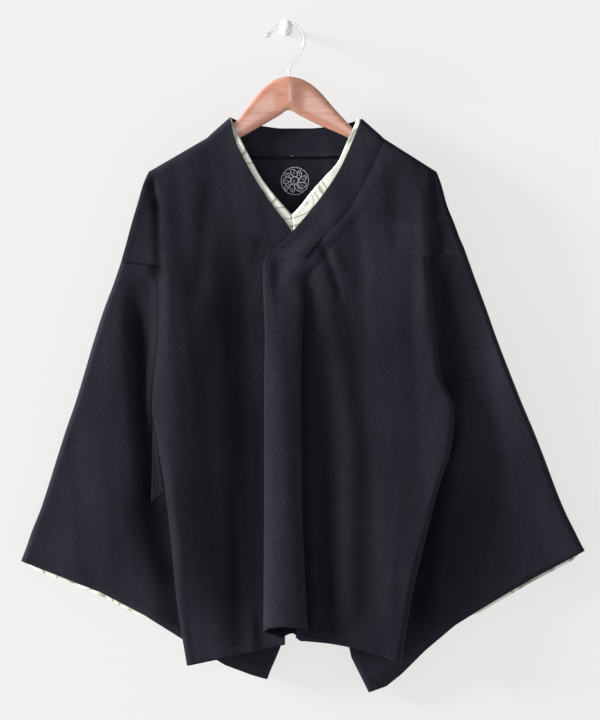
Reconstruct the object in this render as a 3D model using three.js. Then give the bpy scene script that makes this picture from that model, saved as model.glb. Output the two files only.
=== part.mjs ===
// Kimono blouse on a wooden hanger, hooked over a wall peg. Millimetres, +Z up, +X to the viewer's right.
// The wall is the plane y = 0, everything lies at y < 0, and the origin is the middle of the peg's flat back.
import * as THREE from 'three';
import { mergeVertices } from 'three/addons/utils/BufferGeometryUtils.js';

// ---- driving sizes ----
const CLOTH = 1.5; // thickness of the crepe wall
const TRIM_CLOTH = 1.0; // thickness of the ivory trim and facings
const SEAM_GAP = 0.3; // between pieces that are sewn together
const MID_Y = -43; // the plane of the hanger and of the shoulder and side edges
const EDGE_TURN = 7; // how far in from a fold edge the cloth turns round to the middle plane
const HALF_EDGE = 0.4; // half the gap between the front and the back where they meet at an edge
const SHOULDER_DEPTH = 9; // the cloth in front of and behind the middle plane, over the hanger
const CHEST_FILL = 6; // how much further forward the front hangs below the chest
const BACK_FILL = 3; // how much further back the back hangs below the shoulders
const LAP_CLIMB = 2.2; // each step by which the overlapping front climbs before the pleat starts
const UNDERLAP = 2; // step between layers of cloth that lie on each other
const TRIM_BEHIND = 1.75; // from the middle of a layer of crepe to the middle of the trim or facing behind it
const NECK_LEFT = -1; // where the pleat's folded-under edge is sewn to the left front
const NECK_RIGHT = 15; // where the pleat's right side turns back into the right front
const LAP_TOP = -302; // the height at which the pleat starts, under the crossing bands
const HEM_BASE = -833; // the hem height beside the pleat

const NAVY = new THREE.MeshStandardMaterial({ color: 0x1b1c26, roughness: 0.92, metalness: 0 });
const IVORY = new THREE.MeshStandardMaterial({ color: 0xe6e4da, roughness: 0.85, metalness: 0 });
const WOOD = new THREE.MeshStandardMaterial({ color: 0x8e3f28, roughness: 0.3, metalness: 0 });
const CHROME = new THREE.MeshStandardMaterial({ color: 0xc8c8cc, roughness: 0.2, metalness: 1 });
const WHITE = new THREE.MeshStandardMaterial({ color: 0xf0f0ee, roughness: 0.5, metalness: 0 });

// ---- tables, a row for each level from the shoulder line down to the hem ----
// in* is the end at the collar seam or the middle, out* the end at the shoulder, sleeve seam or side.
// front and back say how far the cloth still stands off the middle plane at the outer end.
const LEFT_ROWS = [
  { inX: -107, inZ: -151, outX: -186, outZ: -197, front: 0.4, back: 0.4 },
  { inX: -103, inZ: -180, outX: -193, outZ: -213, front: 0.4, back: 0.4 },
  { inX: -91, inZ: -210, outX: -201, outZ: -240, front: 0.4, back: 0.4 },
  { inX: -71, inZ: -243, outX: -209, outZ: -267, front: 0.4, back: 0.4 },
  { inX: -49, inZ: -267, outX: -216, outZ: -293, front: 0.4, back: 0.4 },
  { inX: -30, inZ: -286, outX: -223, outZ: -319, front: 0.4, back: 0.4 },
  { inX: -22, inZ: -295, outX: -199, outZ: -322.5, front: 7.5, back: 8 },
  { inX: -14, inZ: -305, outX: -175, outZ: -326, front: 5, back: 9.5 },
  { inX: NECK_LEFT, inZ: -332, outX: -172, outZ: -354, front: 5, back: 10 },
  { inX: NECK_LEFT, inZ: -370, outX: -172, outZ: -387, front: 5, back: 10 },
  { inX: NECK_LEFT, inZ: -418, outX: -173, outZ: -427, front: 5, back: 10 },
  { inX: NECK_LEFT, inZ: -468, outX: -178, outZ: -471, front: 5, back: 10 },
  { inX: NECK_LEFT, inZ: -520, outX: -181, outZ: -514, front: 5, back: 10 },
  { inX: NECK_LEFT, inZ: -567, outX: -174, outZ: -566, front: 2, back: 4 },
  { inX: NECK_LEFT, inZ: -628, outX: -164, outZ: -628, front: 0.4, back: 0.4 },
  { inX: NECK_LEFT, inZ: -696, outX: -155, outZ: -703, front: 0.4, back: 0.4 },
  { inX: NECK_LEFT, inZ: -764, outX: -148, outZ: -778, front: 0.4, back: 0.4 },
  { inX: NECK_LEFT, inZ: HEM_BASE, outX: -134, outZ: -866, front: 0.4, back: 0.4 },
];
const RIGHT_ROWS = [
  { inX: 133, inZ: -152, outX: 204, outZ: -197, front: 0.4, back: 0.4 },
  { inX: 119, inZ: -186, outX: 210, outZ: -213, front: 0.4, back: 0.4 },
  { inX: 103, inZ: -217, outX: 218, outZ: -242, front: 0.4, back: 0.4 },
  { inX: 85, inZ: -248, outX: 228, outZ: -267, front: 0.4, back: 0.4 },
  { inX: 66, inZ: -270, outX: 235, outZ: -286, front: 0.4, back: 0.4 },
  { inX: 50, inZ: -286, outX: 242, outZ: -303, front: 0.4, back: 0.4 },
  { inX: 43, inZ: -293, outX: 218, outZ: -308, front: 7.5, back: 8 },
  { inX: 35, inZ: LAP_TOP, outX: 195, outZ: -313, front: 5, back: 9.5 },
  { inX: 20, inZ: -324, outX: 197, outZ: -340, front: 5, back: 10 },
  { inX: 4, inZ: -346, outX: 199, outZ: -362, front: 5, back: 10 },
  { inX: 4, inZ: -380, outX: 202, outZ: -392, front: 5, back: 10 },
  { inX: 4, inZ: -420, outX: 205, outZ: -424, front: 5, back: 10 },
  { inX: 4, inZ: -470, outX: 210, outZ: -471, front: 5, back: 10 },
  { inX: 4, inZ: -520, outX: 228, outZ: -520, front: 5, back: 10 },
  { inX: 4, inZ: -567, outX: 225, outZ: -567, front: 2, back: 4 },
  { inX: 4, inZ: -628, outX: 206, outZ: -628, front: 0.4, back: 0.4 },
  { inX: 4, inZ: -696, outX: 189, outZ: -696, front: 0.4, back: 0.4 },
  { inX: 4, inZ: -764, outX: 172, outZ: -767, front: 0.4, back: 0.4 },
  { inX: 4, inZ: HEM_BASE, outX: 156, outZ: -863, front: 0.4, back: 0.4 },
];
const LAP_ROW = 7; // the row of RIGHT_ROWS from which the pleat is there

// The top of the blouse from left to right: shoulder, collar top, then the open neck between the collar tops.
const RIDGE = [
  { x: -186, z: -197 },
  { x: -107, z: -151 },
  { x: -75, z: -123 },
  { x: -60, z: -60 },
  { x: 87, z: -60 },
  { x: 102, z: -125 },
  { x: 133, z: -152 },
  { x: 204, z: -197 },
];

// The centre pleat by height: its sharp left crease, its soft right roll, and how far its face stands out.
const PLEAT_LINES = [
  { z: LAP_TOP, crease: -32, roll: 40, stand: 4.4 },
  { z: -346, crease: -30, roll: 26, stand: 6 },
  { z: -420, crease: -28, roll: 22, stand: 9 },
  { z: -500, crease: -29, roll: 20, stand: 12 },
  { z: -640, crease: -29, roll: 21, stand: 15 },
  { z: HEM_BASE, crease: -30, roll: 29, stand: 19 },
];
// The wall round the pleat, from the edge sewn to the left front, round the crease, over the face, round the
// roll and back into the right front. line is the one x is measured from, share the part of the face's stand.
const PLEAT_SECTION = [
  { line: 'neckLeft', dx: 0, share: 0, base: 0.2, lift: 8 },
  { line: 'crease', dx: 14, share: 0, base: 0.4, lift: 9 },
  { line: 'crease', dx: 3, share: 0.12, base: 0.4, lift: 12 },
  { line: 'crease', dx: 0, share: 0.45, base: 0, lift: 14 },
  { line: 'crease', dx: 1.5, share: 0.8, base: 0, lift: 16 },
  { line: 'crease', dx: 8, share: 0.95, base: 0, lift: 19 },
  { line: 'crease', dx: 20, share: 1, base: 0, lift: 21 },
  { line: 'middle', dx: 0, share: 1, base: 0, lift: 21 },
  { line: 'roll', dx: -10, share: 0.95, base: 0, lift: 19 },
  { line: 'roll', dx: -2.5, share: 0.78, base: 0, lift: 17 },
  { line: 'roll', dx: 0, share: 0.45, base: 0, lift: 14 },
  { line: 'roll', dx: -3, share: 0.14, base: 0, lift: 11 },
  { line: 'neckRight', dx: 0, share: 0, base: -1.2, lift: 5 },
  { line: 'neckRight', dx: 5, share: 0, base: -2.2, lift: 0 },
];
const MIDDLE = 7; // the section's point on the collar seam, with only the points after it above the pleat
// Above the pleat the roll lies flat, as steps out from the collar seam, which stand off less and less.
const FLAT_STEPS = [0, 6, 11, 14, 17, 20, 24];
const FLAT_SHARE = [1, 0.95, 0.85, 0.75, 0.62, 0.5, 0.35];

// The largest folds of the front: a soft line from (x1, z1) to (x2, z2), out > 0 a ridge and < 0 a trough.
const FRONT_FOLDS = [
  { x1: -106, z1: -214, x2: -122, z2: -366, wide: 14, out: -2.5 },
  { x1: -100, z1: -478, x2: -76, z2: -760, wide: 26, out: -4 },
  { x1: -160, z1: -300, x2: -150, z2: -620, wide: 12, out: 2.5 },
  { x1: -60, z1: -420, x2: -50, z2: -800, wide: 13, out: 2 },
  { x1: -130, z1: -620, x2: -112, z2: -840, wide: 14, out: 2 },
  { x1: 43, z1: -310, x2: 80, z2: -560, wide: 14, out: 3 },
  { x1: 80, z1: -560, x2: 75, z2: -800, wide: 16, out: 3.5 },
  { x1: 46, z1: -430, x2: 48, z2: -820, wide: 12, out: -3.5 },
  { x1: 148, z1: -200, x2: 150, z2: -300, wide: 14, out: -2 },
  { x1: 130, z1: -560, x2: 118, z2: -830, wide: 22, out: -2 },
  { x1: 190, z1: -330, x2: 200, z2: -520, wide: 14, out: 2 },
];
const BACK_FOLDS = [
  { x1: -70, z1: -330, x2: -62, z2: -800, wide: 22, out: 2.5 },
  { x1: 20, z1: -420, x2: 26, z2: -820, wide: 20, out: -2 },
  { x1: 96, z1: -340, x2: 88, z2: -800, wide: 22, out: 2.5 },
];

// The sleeves, a row for each level from the sleeve seam to the cuff. in* runs down the body's side, past
// the underarm and behind the back to the hanging corner, and out* down the outer fold.
const SLEEVE_LEFT = [
  { inX: -176.4, inZ: -327, outX: -223.5, outZ: -320 },
  { inX: -173.4, inZ: -354, outX: -234, outZ: -350 },
  { inX: -172.6, inZ: -387, outX: -247, outZ: -384 },
  { inX: -173.6, inZ: -427, outX: -261, outZ: -427 },
  { inX: -178.8, inZ: -471, outX: -274, outZ: -471 },
  { inX: -184, inZ: -511, outX: -286, outZ: -510 },
  { inX: -187, inZ: -548, outX: -299, outZ: -547 },
  { inX: -181, inZ: -585, outX: -311, outZ: -584 },
  { inX: -133, inZ: -628, outX: -323, outZ: -622 },
  { inX: -73, inZ: -683, outX: -335, outZ: -658 },
  { inX: -27, inZ: -744, outX: -346, outZ: -685 },
  { inX: -3, inZ: -818, outX: -354, outZ: -708 },
  { inX: -26, inZ: -887, outX: -361, outZ: -726 },
];
const SLEEVE_RIGHT = [
  { inX: 196.6, inZ: -314, outX: 242.5, outZ: -304 },
  { inX: 199.6, inZ: -350, outX: 256, outZ: -341 },
  { inX: 202.2, inZ: -387, outX: 271, outZ: -381 },
  { inX: 206, inZ: -427, outX: 286, outZ: -423 },
  { inX: 211, inZ: -471, outX: 303, outZ: -467 },
  { inX: 230, inZ: -514, outX: 321, outZ: -512 },
  { inX: 236, inZ: -552, outX: 338, outZ: -552 },
  { inX: 227, inZ: -590, outX: 353, outZ: -590 },
  { inX: 185, inZ: -635, outX: 368, outZ: -630 },
  { inX: 133, inZ: -696, outX: 381, outZ: -661 },
  { inX: 98, inZ: -764, outX: 394, outZ: -687 },
  { inX: 84, inZ: -834, outX: 402, outZ: -703 },
  { inX: 113, inZ: -905, outX: 407, outZ: -712 },
];
// The depths of both sleeves' layers at the same levels: frontIn and backIn at the inner end, frontY and
// backY between the ends, and outY at the outer fold.
const SLEEVE_DEPTHS = [
  { frontIn: -47, backIn: -33.4, frontY: -50.5, backY: -33, outY: -43 },
  { frontIn: -47, backIn: -32.6, frontY: -45, backY: -31, outY: -40 },
  { frontIn: -47, backIn: -32.4, frontY: -42, backY: -30, outY: -37 },
  { frontIn: -47, backIn: -32.2, frontY: -40, backY: -29, outY: -34 },
  { frontIn: -46, backIn: -32, frontY: -38, backY: -28, outY: -32 },
  { frontIn: -41, backIn: -31, frontY: -36, backY: -26, outY: -30 },
  { frontIn: -33, backIn: -27, frontY: -33, backY: -22, outY: -27 },
  { frontIn: -23.5, backIn: -20, frontY: -30, backY: -18, outY: -24 },
  { frontIn: -18.4, backIn: -17, frontY: -26, backY: -14, outY: -21 },
  { frontIn: -17.6, backIn: -16.4, frontY: -25, backY: -12, outY: -20 },
  { frontIn: -17.6, backIn: -16.4, frontY: -25, backY: -11.5, outY: -19 },
  { frontIn: -17.6, backIn: -16.4, frontY: -25, backY: -11, outY: -18 },
  { frontIn: -17.6, backIn: -16.4, frontY: -25, backY: -11, outY: -18 },
];
// How far the cuff lies above the straight line between its corners, by the share u out from its inner end.
const CUFF_LEFT = [
  { u: 0, up: 0 },
  { u: 0.06, up: -4 },
  { u: 0.17, up: -8 },
  { u: 0.36, up: 0 },
  { u: 0.5, up: 7 },
  { u: 0.68, up: 9.5 },
  { u: 1, up: 0 },
];
const CUFF_RIGHT = [
  { u: 0, up: 0 },
  { u: 0.08, up: -7 },
  { u: 0.15, up: -4 },
  { u: 0.26, up: 7 },
  { u: 0.4, up: 14.5 },
  { u: 0.57, up: 13 },
  { u: 0.76, up: 9 },
  { u: 1, up: 0 },
];
// A long trough down each sleeve, at a share of its width.
const SLEEVE_FOLD = { at: 0.4, wide: 0.12, deep: 3 };
// The ivory facing along the outer half of each cuff, which peeps out below the front layer.
const FACING = { high: 26, peep: 3, from: 0.5, to: 0.95 };

// The V edge of the collar bands, a row for each of the first rows of the front that the band is sewn to.
const BAND_LEFT = [
  { neckX: -76, neckZ: -124 },
  { neckX: -70, neckZ: -151 },
  { neckX: -54, neckZ: -185 },
  { neckX: -34, neckZ: -219 },
  { neckX: -16, neckZ: -245 },
  { neckX: 2, neckZ: -269 },
  { neckX: 7.5, neckZ: -280 },
];
const BAND_RIGHT = [
  { neckX: 102, neckZ: -125 },
  { neckX: 92, neckZ: -151 },
  { neckX: 74, neckZ: -191 },
  { neckX: 53, neckZ: -224 },
  { neckX: 31, neckZ: -252 },
  { neckX: 9, neckZ: -278 },
  { neckX: 3, neckZ: -285 },
  { neckX: -4, neckZ: -292 },
  { neckX: -14, neckZ: -303 },
  { neckX: -9, neckZ: -326 },
];
// The ivory trim inside the V: out* runs just behind the band's edge, in* is its free edge.
const TRIM_LEFT = [
  { outX: -79, outZ: -130, inX: -74, inZ: -128 },
  { outX: -76, outZ: -142, inX: -69, inZ: -139 },
  { outX: -70, outZ: -159, inX: -62, inZ: -152 },
  { outX: -56, outZ: -187, inX: -47, inZ: -181 },
  { outX: -43, outZ: -211, inX: -33, inZ: -206 },
  { outX: -28, outZ: -233, inX: -17, inZ: -227 },
  { outX: -14, outZ: -253, inX: -5, inZ: -241 },
  { outX: 9.2, outZ: -280, inX: 7.4, inZ: -255 },
];
const TRIM_RIGHT = [
  { outX: 103, outZ: -130, inX: 97, inZ: -128 },
  { outX: 98, outZ: -142, inX: 91, inZ: -138 },
  { outX: 92, outZ: -160, inX: 84, inZ: -153 },
  { outX: 77, outZ: -191, inX: 70, inZ: -184 },
  { outX: 64, outZ: -213, inX: 53, inZ: -203 },
  { outX: 46, outZ: -239, inX: 35, inZ: -223 },
  { outX: 33, outZ: -255, inX: 21, inZ: -241 },
  { outX: 10.4, outZ: -280, inX: 8.4, inZ: -255 },
];
// The back collar from the left collar top to the right one: its lower edge on the neck seam and its top.
const COLLAR_BACK = [
  { lowX: -107, lowZ: -151, topX: -75.5, topZ: -123, topY: -42.6 },
  { lowX: -104, lowZ: -153.4, topX: -73, topZ: -123.6, topY: -38.5 },
  { lowX: -97, lowZ: -158, topX: -68, topZ: -125.5, topY: -35.5 },
  { lowX: -78, lowZ: -167, topX: -54, topZ: -130, topY: -34.6 },
  { lowX: -48, lowZ: -174, topX: -28, topZ: -134.5, topY: -34.2 },
  { lowX: -10, lowZ: -175.5, topX: -4, topZ: -137, topY: -34 },
  { lowX: 38, lowZ: -175.5, topX: 30, topZ: -137, topY: -34 },
  { lowX: 74, lowZ: -174, topX: 56, topZ: -135, topY: -34.2 },
  { lowX: 103, lowZ: -167, topX: 81, topZ: -131, topY: -34.6 },
  { lowX: 122, lowZ: -159, topX: 95, topZ: -127, topY: -35.5 },
  { lowX: 130, lowZ: -154, topX: 100, topZ: -125.4, topY: -38.5 },
  { lowX: 133, lowZ: -152, topX: 102.5, topZ: -125, topY: -42.6 },
];

// The wooden hanger from its left end to its right end.
const HANGER = [
  { x: -180, top: -199, bottom: -207, half: 3.5 },
  { x: -174, top: -192.5, bottom: -212, half: 6 },
  { x: -158, top: -182.8, bottom: -206, half: 6 },
  { x: -130, top: -166.6, bottom: -189, half: 6 },
  { x: -105, top: -152.4, bottom: -173, half: 6 },
  { x: -84, top: -139, bottom: -161, half: 6 },
  { x: -65, top: -125, bottom: -152, half: 6 },
  { x: -50, top: -106, bottom: -144, half: 6 },
  { x: -38, top: -91, bottom: -137, half: 6 },
  { x: -24, top: -77.5, bottom: -129, half: 6 },
  { x: -10, top: -69.5, bottom: -121, half: 6 },
  { x: 4, top: -67, bottom: -113, half: 6 },
  { x: 18, top: -69.5, bottom: -120, half: 6 },
  { x: 34, top: -77.5, bottom: -128, half: 6 },
  { x: 49, top: -91, bottom: -135, half: 6 },
  { x: 63, top: -107.5, bottom: -141, half: 6 },
  { x: 78, top: -124, bottom: -147.5, half: 6 },
  { x: 92, top: -138, bottom: -155, half: 6 },
  { x: 112, top: -149, bottom: -167, half: 6 },
  { x: 133, top: -159, bottom: -180, half: 6 },
  { x: 160, top: -173.5, bottom: -196, half: 6 },
  { x: 187, top: -189.5, bottom: -211, half: 6 },
  { x: 195, top: -197, bottom: -207, half: 3.5 },
];
const CHAMFER = 2.5;
// The hook's wire, from its stem in the wood over the peg to its free tip.
const HOOK_RADIUS = 2;
const HOOK_ROUTE = [
  { x: 4, z: -66.6 },
  { x: 4, z: -58 },
  { x: 11, z: -45 },
  { x: 20, z: -33 },
  { x: 24.5, z: -20 },
  { x: 21.5, z: -7 },
  { x: 12.5, z: 4.5 },
  { x: 0, z: 9 },
  { x: -10.5, z: 3.5 },
  { x: -20, z: -7 },
  { x: -28, z: -14 },
];
const HOOK_STEPS = 44;
// The wall peg, turned round the y axis: its plate on the wall, neck and rounded knob.
const PEG_PROFILE = [
  { r: 0, y: 0 },
  { r: 11, y: 0 },
  { r: 11, y: -3 },
  { r: 9.5, y: -4.5 },
  { r: 6.6, y: -5.5 },
  { r: 6.6, y: -47 },
  { r: 8.4, y: -48.5 },
  { r: 8.9, y: -52 },
  { r: 8.2, y: -56 },
  { r: 5.5, y: -58.5 },
  { r: 0, y: -59.5 },
];

// ---- helpers ----
const clamp = (t, low, high) => Math.min(high, Math.max(low, t));
const mix = (a, b, t) => a + (b - a) * t;
const smooth = (t) => clamp(t, 0, 1) ** 2 * (3 - 2 * clamp(t, 0, 1));
// 0 at a fold edge and 1 from EDGE_TURN inwards, on a quarter of an ellipse.
const turn = (distance) => Math.sqrt(1 - (1 - clamp(distance / EDGE_TURN, 0, 1)) ** 2);

// A column of a table at the row number v, which may lie between rows: a smooth curve that never overshoots.
function columnAt(rows, key, v) {
  const i = clamp(Math.floor(v), 0, rows.length - 2);
  const t = v - i;
  const step = (k) => rows[k + 1][key] - rows[k][key];
  const slope = (k) => {
    if (k === 0) return step(0);
    if (k === rows.length - 1) return step(k - 1);
    const a = step(k - 1);
    const b = step(k);
    return a * b > 0 ? (2 * a * b) / (a + b) : 0;
  };
  const [p, q, m, n] = [rows[i][key], rows[i + 1][key], slope(i), slope(i + 1)];
  return p + t * (m + t * (3 * (q - p) - 2 * m - n + t * (m + n - 2 * (q - p))));
}

// A column of a table as a straight-line function of another, increasing or decreasing, column.
function lookUp(rows, by, key, value) {
  const rising = rows[rows.length - 1][by] > rows[0][by] ? 1 : -1;
  let i = 0;
  while (i < rows.length - 2 && rising * rows[i + 1][by] < rising * value) i += 1;
  const t = clamp((value - rows[i][by]) / (rows[i + 1][by] - rows[i][by]), 0, 1);
  return mix(rows[i][key], rows[i + 1][key], t);
}

// How far the folds of a table move the cloth out at (x, z).
function foldsAt(folds, x, z) {
  let out = 0;
  for (const fold of folds) {
    const dx = fold.x2 - fold.x1;
    const dz = fold.z2 - fold.z1;
    const along = ((x - fold.x1) * dx + (z - fold.z1) * dz) / (dx * dx + dz * dz);
    const across = ((x - fold.x1) * dz - (z - fold.z1) * dx) / Math.hypot(dx, dz);
    const within = smooth((along + 0.15) / 0.3) * smooth((1.15 - along) / 0.3);
    out += fold.out * Math.exp(-((across / fold.wide) ** 2)) * within;
  }
  return out;
}

// The distance below the sloping ridge is this much of the height below it.
const SLOPE_SHARE = 0.86;
const belowRidge = (x, z) => Math.max(0, (lookUp(RIDGE, 'x', 'z', x) - z) * SLOPE_SHARE);
const frontFill = (z) => SHOULDER_DEPTH + CHEST_FILL * smooth((-z - 200) / 250);
const backFill = (z) => SHOULDER_DEPTH + BACK_FILL * smooth((-z - 200) / 250);

// Depth of the front cloth, with side the distance in from its outer edge and edge its stand-off there.
const FAR_IN = 100; // a distance at which an edge no longer matters
function frontY(x, z, side = FAR_IN, edge = HALF_EDGE, out = 0) {
  const full = frontFill(z) + foldsAt(FRONT_FOLDS, x, z) * smooth(side / 12) + out;
  const turned = edge + (full - edge) * turn(side);
  return MID_Y - (HALF_EDGE + (turned - HALF_EDGE) * turn(belowRidge(x, z)));
}
function backY(x, z, side = FAR_IN, edge = HALF_EDGE) {
  const full = backFill(z) + foldsAt(BACK_FOLDS, x, z) * smooth(side / 12);
  const turned = edge + (full - edge) * turn(side);
  return MID_Y + (HALF_EDGE + (turned - HALF_EDGE) * turn(belowRidge(x, z)));
}

// How far the overlapping right front and its band stand in front of the left front at the height z.
const lapLift = (z) => LAP_CLIMB * smooth((-z - 215) / 50);

// A wall of the given thickness round a grid of middle points, of which absent ones are null.
function clothWall(grid, thickness) {
  const rows = grid.length;
  const columns = grid[0].length;
  const has = (i, j) => i >= 0 && j >= 0 && i < rows && j < columns && grid[i][j] !== null;
  const cellAt = (i, j) => has(i, j) && has(i + 1, j) && has(i, j + 1) && has(i + 1, j + 1);
  const normals = grid.map((row) => row.map((p) => (p ? new THREE.Vector3() : null)));
  const cells = [];
  for (let i = 0; i < rows - 1; i += 1) {
    for (let j = 0; j < columns - 1; j += 1) {
      if (!cellAt(i, j)) continue;
      cells.push([i, j]);
      const across = grid[i][j + 1].clone().sub(grid[i + 1][j]);
      const normal = across.cross(grid[i + 1][j + 1].clone().sub(grid[i][j])).normalize();
      for (const [a, b] of [[i, j], [i + 1, j], [i, j + 1], [i + 1, j + 1]]) normals[a][b].add(normal);
    }
  }
  const used = new Set(cells.map(([i, j]) => `${i},${j}`));
  const position = [];
  const side = (i, j, sign) => {
    const out = normals[i][j].clone().setLength((sign * thickness) / 2);
    return grid[i][j].clone().add(out);
  };
  const triangle = (...points) => points.forEach((p) => position.push(p.x, p.y, p.z));
  const quad = (a, b, c, d) => {
    triangle(a, b, c);
    triangle(a, c, d);
  };
  for (const [i, j] of cells) {
    const corners = [[i, j], [i + 1, j], [i + 1, j + 1], [i, j + 1]];
    quad(...corners.map(([a, b]) => side(a, b, -1)));
    const [a, b, c, d] = corners.map(([m, n]) => side(m, n, 1));
    triangle(a, c, b);
    triangle(a, d, c);
    const neighbours = [[i, j - 1], [i + 1, j], [i, j + 1], [i - 1, j]];
    neighbours.forEach(([m, n], k) => {
      if (used.has(`${m},${n}`)) return;
      const [p, q] = [corners[k], corners[(k + 1) % 4]];
      quad(side(...p, 1), side(...q, 1), side(...q, -1), side(...p, -1));
    });
  }
  const geometry = new THREE.BufferGeometry();
  geometry.setAttribute('position', new THREE.Float32BufferAttribute(position, 3));
  return mergeVertices(geometry, 1e-4);
}

function piece(name, geometry, material) {
  geometry.computeVertexNormals();
  const mesh = new THREE.Mesh(geometry, material);
  mesh.name = name;
  return mesh;
}

// ---- where the rows and columns of the panels lie ----
const TOP_LEVELS = [0, 0.06, 0.25]; // close together where the cloth turns over the shoulder
const levels = (rows) => [...TOP_LEVELS, ...rows.slice(1).map((_, k) => k + 1)];
const ACROSS = [0, 0.12, 0.25, 0.38, 0.5, 0.61, 0.72, 0.82, 0.9, 0.955, 0.985, 1];

function rowPoint(rows, v, u) {
  const [inX, inZ] = [columnAt(rows, 'inX', v), columnAt(rows, 'inZ', v)];
  const [outX, outZ] = [columnAt(rows, 'outX', v), columnAt(rows, 'outZ', v)];
  return { x: mix(inX, outX, u), z: mix(inZ, outZ, u), side: (1 - u) * Math.hypot(outX - inX, outZ - inZ) };
}

function frontLeft() {
  const grid = levels(LEFT_ROWS).map((v) =>
    ACROSS.map((u) => {
      const inset = u === 0 ? -SEAM_GAP : 0;
      const { x, z, side } = rowPoint(LEFT_ROWS, v, u);
      const under = smooth((x + 45) / 10) * smooth((-z - 282) / 16);
      const y = frontY(x, z, side, columnAt(LEFT_ROWS, 'front', v), -UNDERLAP * under);
      const steady = MID_Y - frontFill(z) + UNDERLAP;
      return new THREE.Vector3(x + inset, mix(y, steady, under), z);
    }),
  );
  return piece('front_left', clothWall(grid, CLOTH), NAVY);
}

// A point of the pleat's section at the row v, whose collar end or middle lies at the height z.
function pleatPoint(point, z, v) {
  const at = (key) => lookUp(PLEAT_LINES, 'z', key, z);
  const lines = {
    neckLeft: NECK_LEFT,
    crease: at('crease'),
    middle: columnAt(RIGHT_ROWS, 'inX', v),
    roll: at('roll'),
    neckRight: NECK_RIGHT,
  };
  const lower = smooth((LAP_TOP - z) / (LAP_TOP - HEM_BASE));
  const y = MID_Y - frontFill(z) - point.base - point.share * at('stand');
  return new THREE.Vector3(lines[point.line] + point.dx, y, z + point.lift * lower);
}

function frontRight() {
  const outer = ACROSS.slice(1);
  const grid = levels(RIGHT_ROWS).map((v) => {
    const { x: seamX, z: seamZ } = rowPoint(RIGHT_ROWS, v, 0);
    const { x: outX, z: outZ } = rowPoint(RIGHT_ROWS, v, 1);
    const length = Math.hypot(outX - seamX, outZ - seamZ);
    const edge = columnAt(RIGHT_ROWS, 'front', v);
    const folded = smooth((v - LAP_ROW - 1) / 2);
    const stand = v < LAP_ROW ? overlapLift(seamZ) : lookUp(PLEAT_LINES, 'z', 'stand', seamZ);
    const flatPoint = (distance, share) => {
      const u = distance / length;
      const [x, z] = [mix(seamX, outX, u), mix(seamZ, outZ, u)];
      return new THREE.Vector3(x, frontY(x, z, length - distance, edge, share * stand), z);
    };
    const points = PLEAT_SECTION.map((point, k) => {
      if (k < MIDDLE) return v < LAP_ROW ? null : pleatPoint(point, seamZ, v);
      const flat = flatPoint(FLAT_STEPS[k - MIDDLE], FLAT_SHARE[k - MIDDLE]);
      const fold = pleatPoint(point, seamZ, v);
      return flat.lerp(fold, folded);
    });
    const start = points[points.length - 1];
    const first = FLAT_STEPS[FLAT_STEPS.length - 1];
    const lastShare = FLAT_SHARE[FLAT_SHARE.length - 1];
    for (const u of outer) {
      const flat = flatPoint(mix(first, length, u), lastShare * (1 - smooth(u / 0.3)));
      const y = mix(flat.y, start.y, (1 - smooth(u / 0.25)) * folded);
      points.push(new THREE.Vector3(mix(start.x, outX, u), y, mix(start.z, outZ, u)));
    }
    return points;
  });
  for (const row of grid.slice(0, TOP_LEVELS.length + LAP_ROW - 1)) row[MIDDLE].x += SEAM_GAP;
  return piece('front_right', clothWall(grid, CLOTH), NAVY);
}

// The back's top edge from shoulder to shoulder, through the neck seam, which its columns run down from.
const BACK_TOP = [
  { x: LEFT_ROWS[0].outX, z: LEFT_ROWS[0].outZ },
  ...COLLAR_BACK.map(({ lowX, lowZ }) => ({ x: lowX, z: lowZ - 2 * SEAM_GAP })),
  { x: RIGHT_ROWS[0].outX, z: RIGHT_ROWS[0].outZ },
];
const BACK_COLUMNS = [
  ...[-186, -183.5, -179, -170, -150, -128],
  ...COLLAR_BACK.map((p) => p.lowX),
  ...[150, 172, 188, 197, 201.5, 204],
];
const BACK_HEM_BOW = 44; // how far the middle of the back hem lies above its corners
const ABREAST = 7; // the row down to which both tables keep step; the right one has one row more below it

function back() {
  const wide = RIGHT_ROWS[0].outX - LEFT_ROWS[0].outX;
  const grid = levels(LEFT_ROWS).map((v) => {
    const rightV = v + clamp(v - ABREAST, 0, 1);
    const left = { x: columnAt(LEFT_ROWS, 'outX', v), z: columnAt(LEFT_ROWS, 'outZ', v) };
    const right = { x: columnAt(RIGHT_ROWS, 'outX', rightV), z: columnAt(RIGHT_ROWS, 'outZ', rightV) };
    const fade = Math.max(0, 1 - v / 9) ** 1.5;
    const low = smooth((v - 9) / (LEFT_ROWS.length - 10));
    return BACK_COLUMNS.map((topX) => {
      const share = (topX - LEFT_ROWS[0].outX) / wide;
      const x = mix(left.x, right.x, share);
      const rise = lookUp(BACK_TOP, 'x', 'z', topX) - mix(LEFT_ROWS[0].outZ, RIGHT_ROWS[0].outZ, share);
      const bow = BACK_HEM_BOW * Math.sin(Math.PI * share) ** 0.7 * low;
      const z = mix(left.z, right.z, share) + rise * fade + bow;
      const width = right.x - left.x;
      const edge = share < 0.5 ? columnAt(LEFT_ROWS, 'back', v) : columnAt(RIGHT_ROWS, 'back', rightV);
      return new THREE.Vector3(x, backY(x, z, Math.min(share, 1 - share) * width, edge), z);
    });
  });
  return piece('back', clothWall(grid, CLOTH), NAVY);
}

// ---- sleeves ----
const SLEEVE_ACROSS = [
  ...[0, 0.006, 0.022, 0.06, 0.13, 0.23, 0.34, 0.46],
  ...[0.58, 0.7, 0.81, 0.9, 0.95, 0.978, 0.994, 1],
];
const SLEEVE_HALF_EDGE = 0.6;

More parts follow.
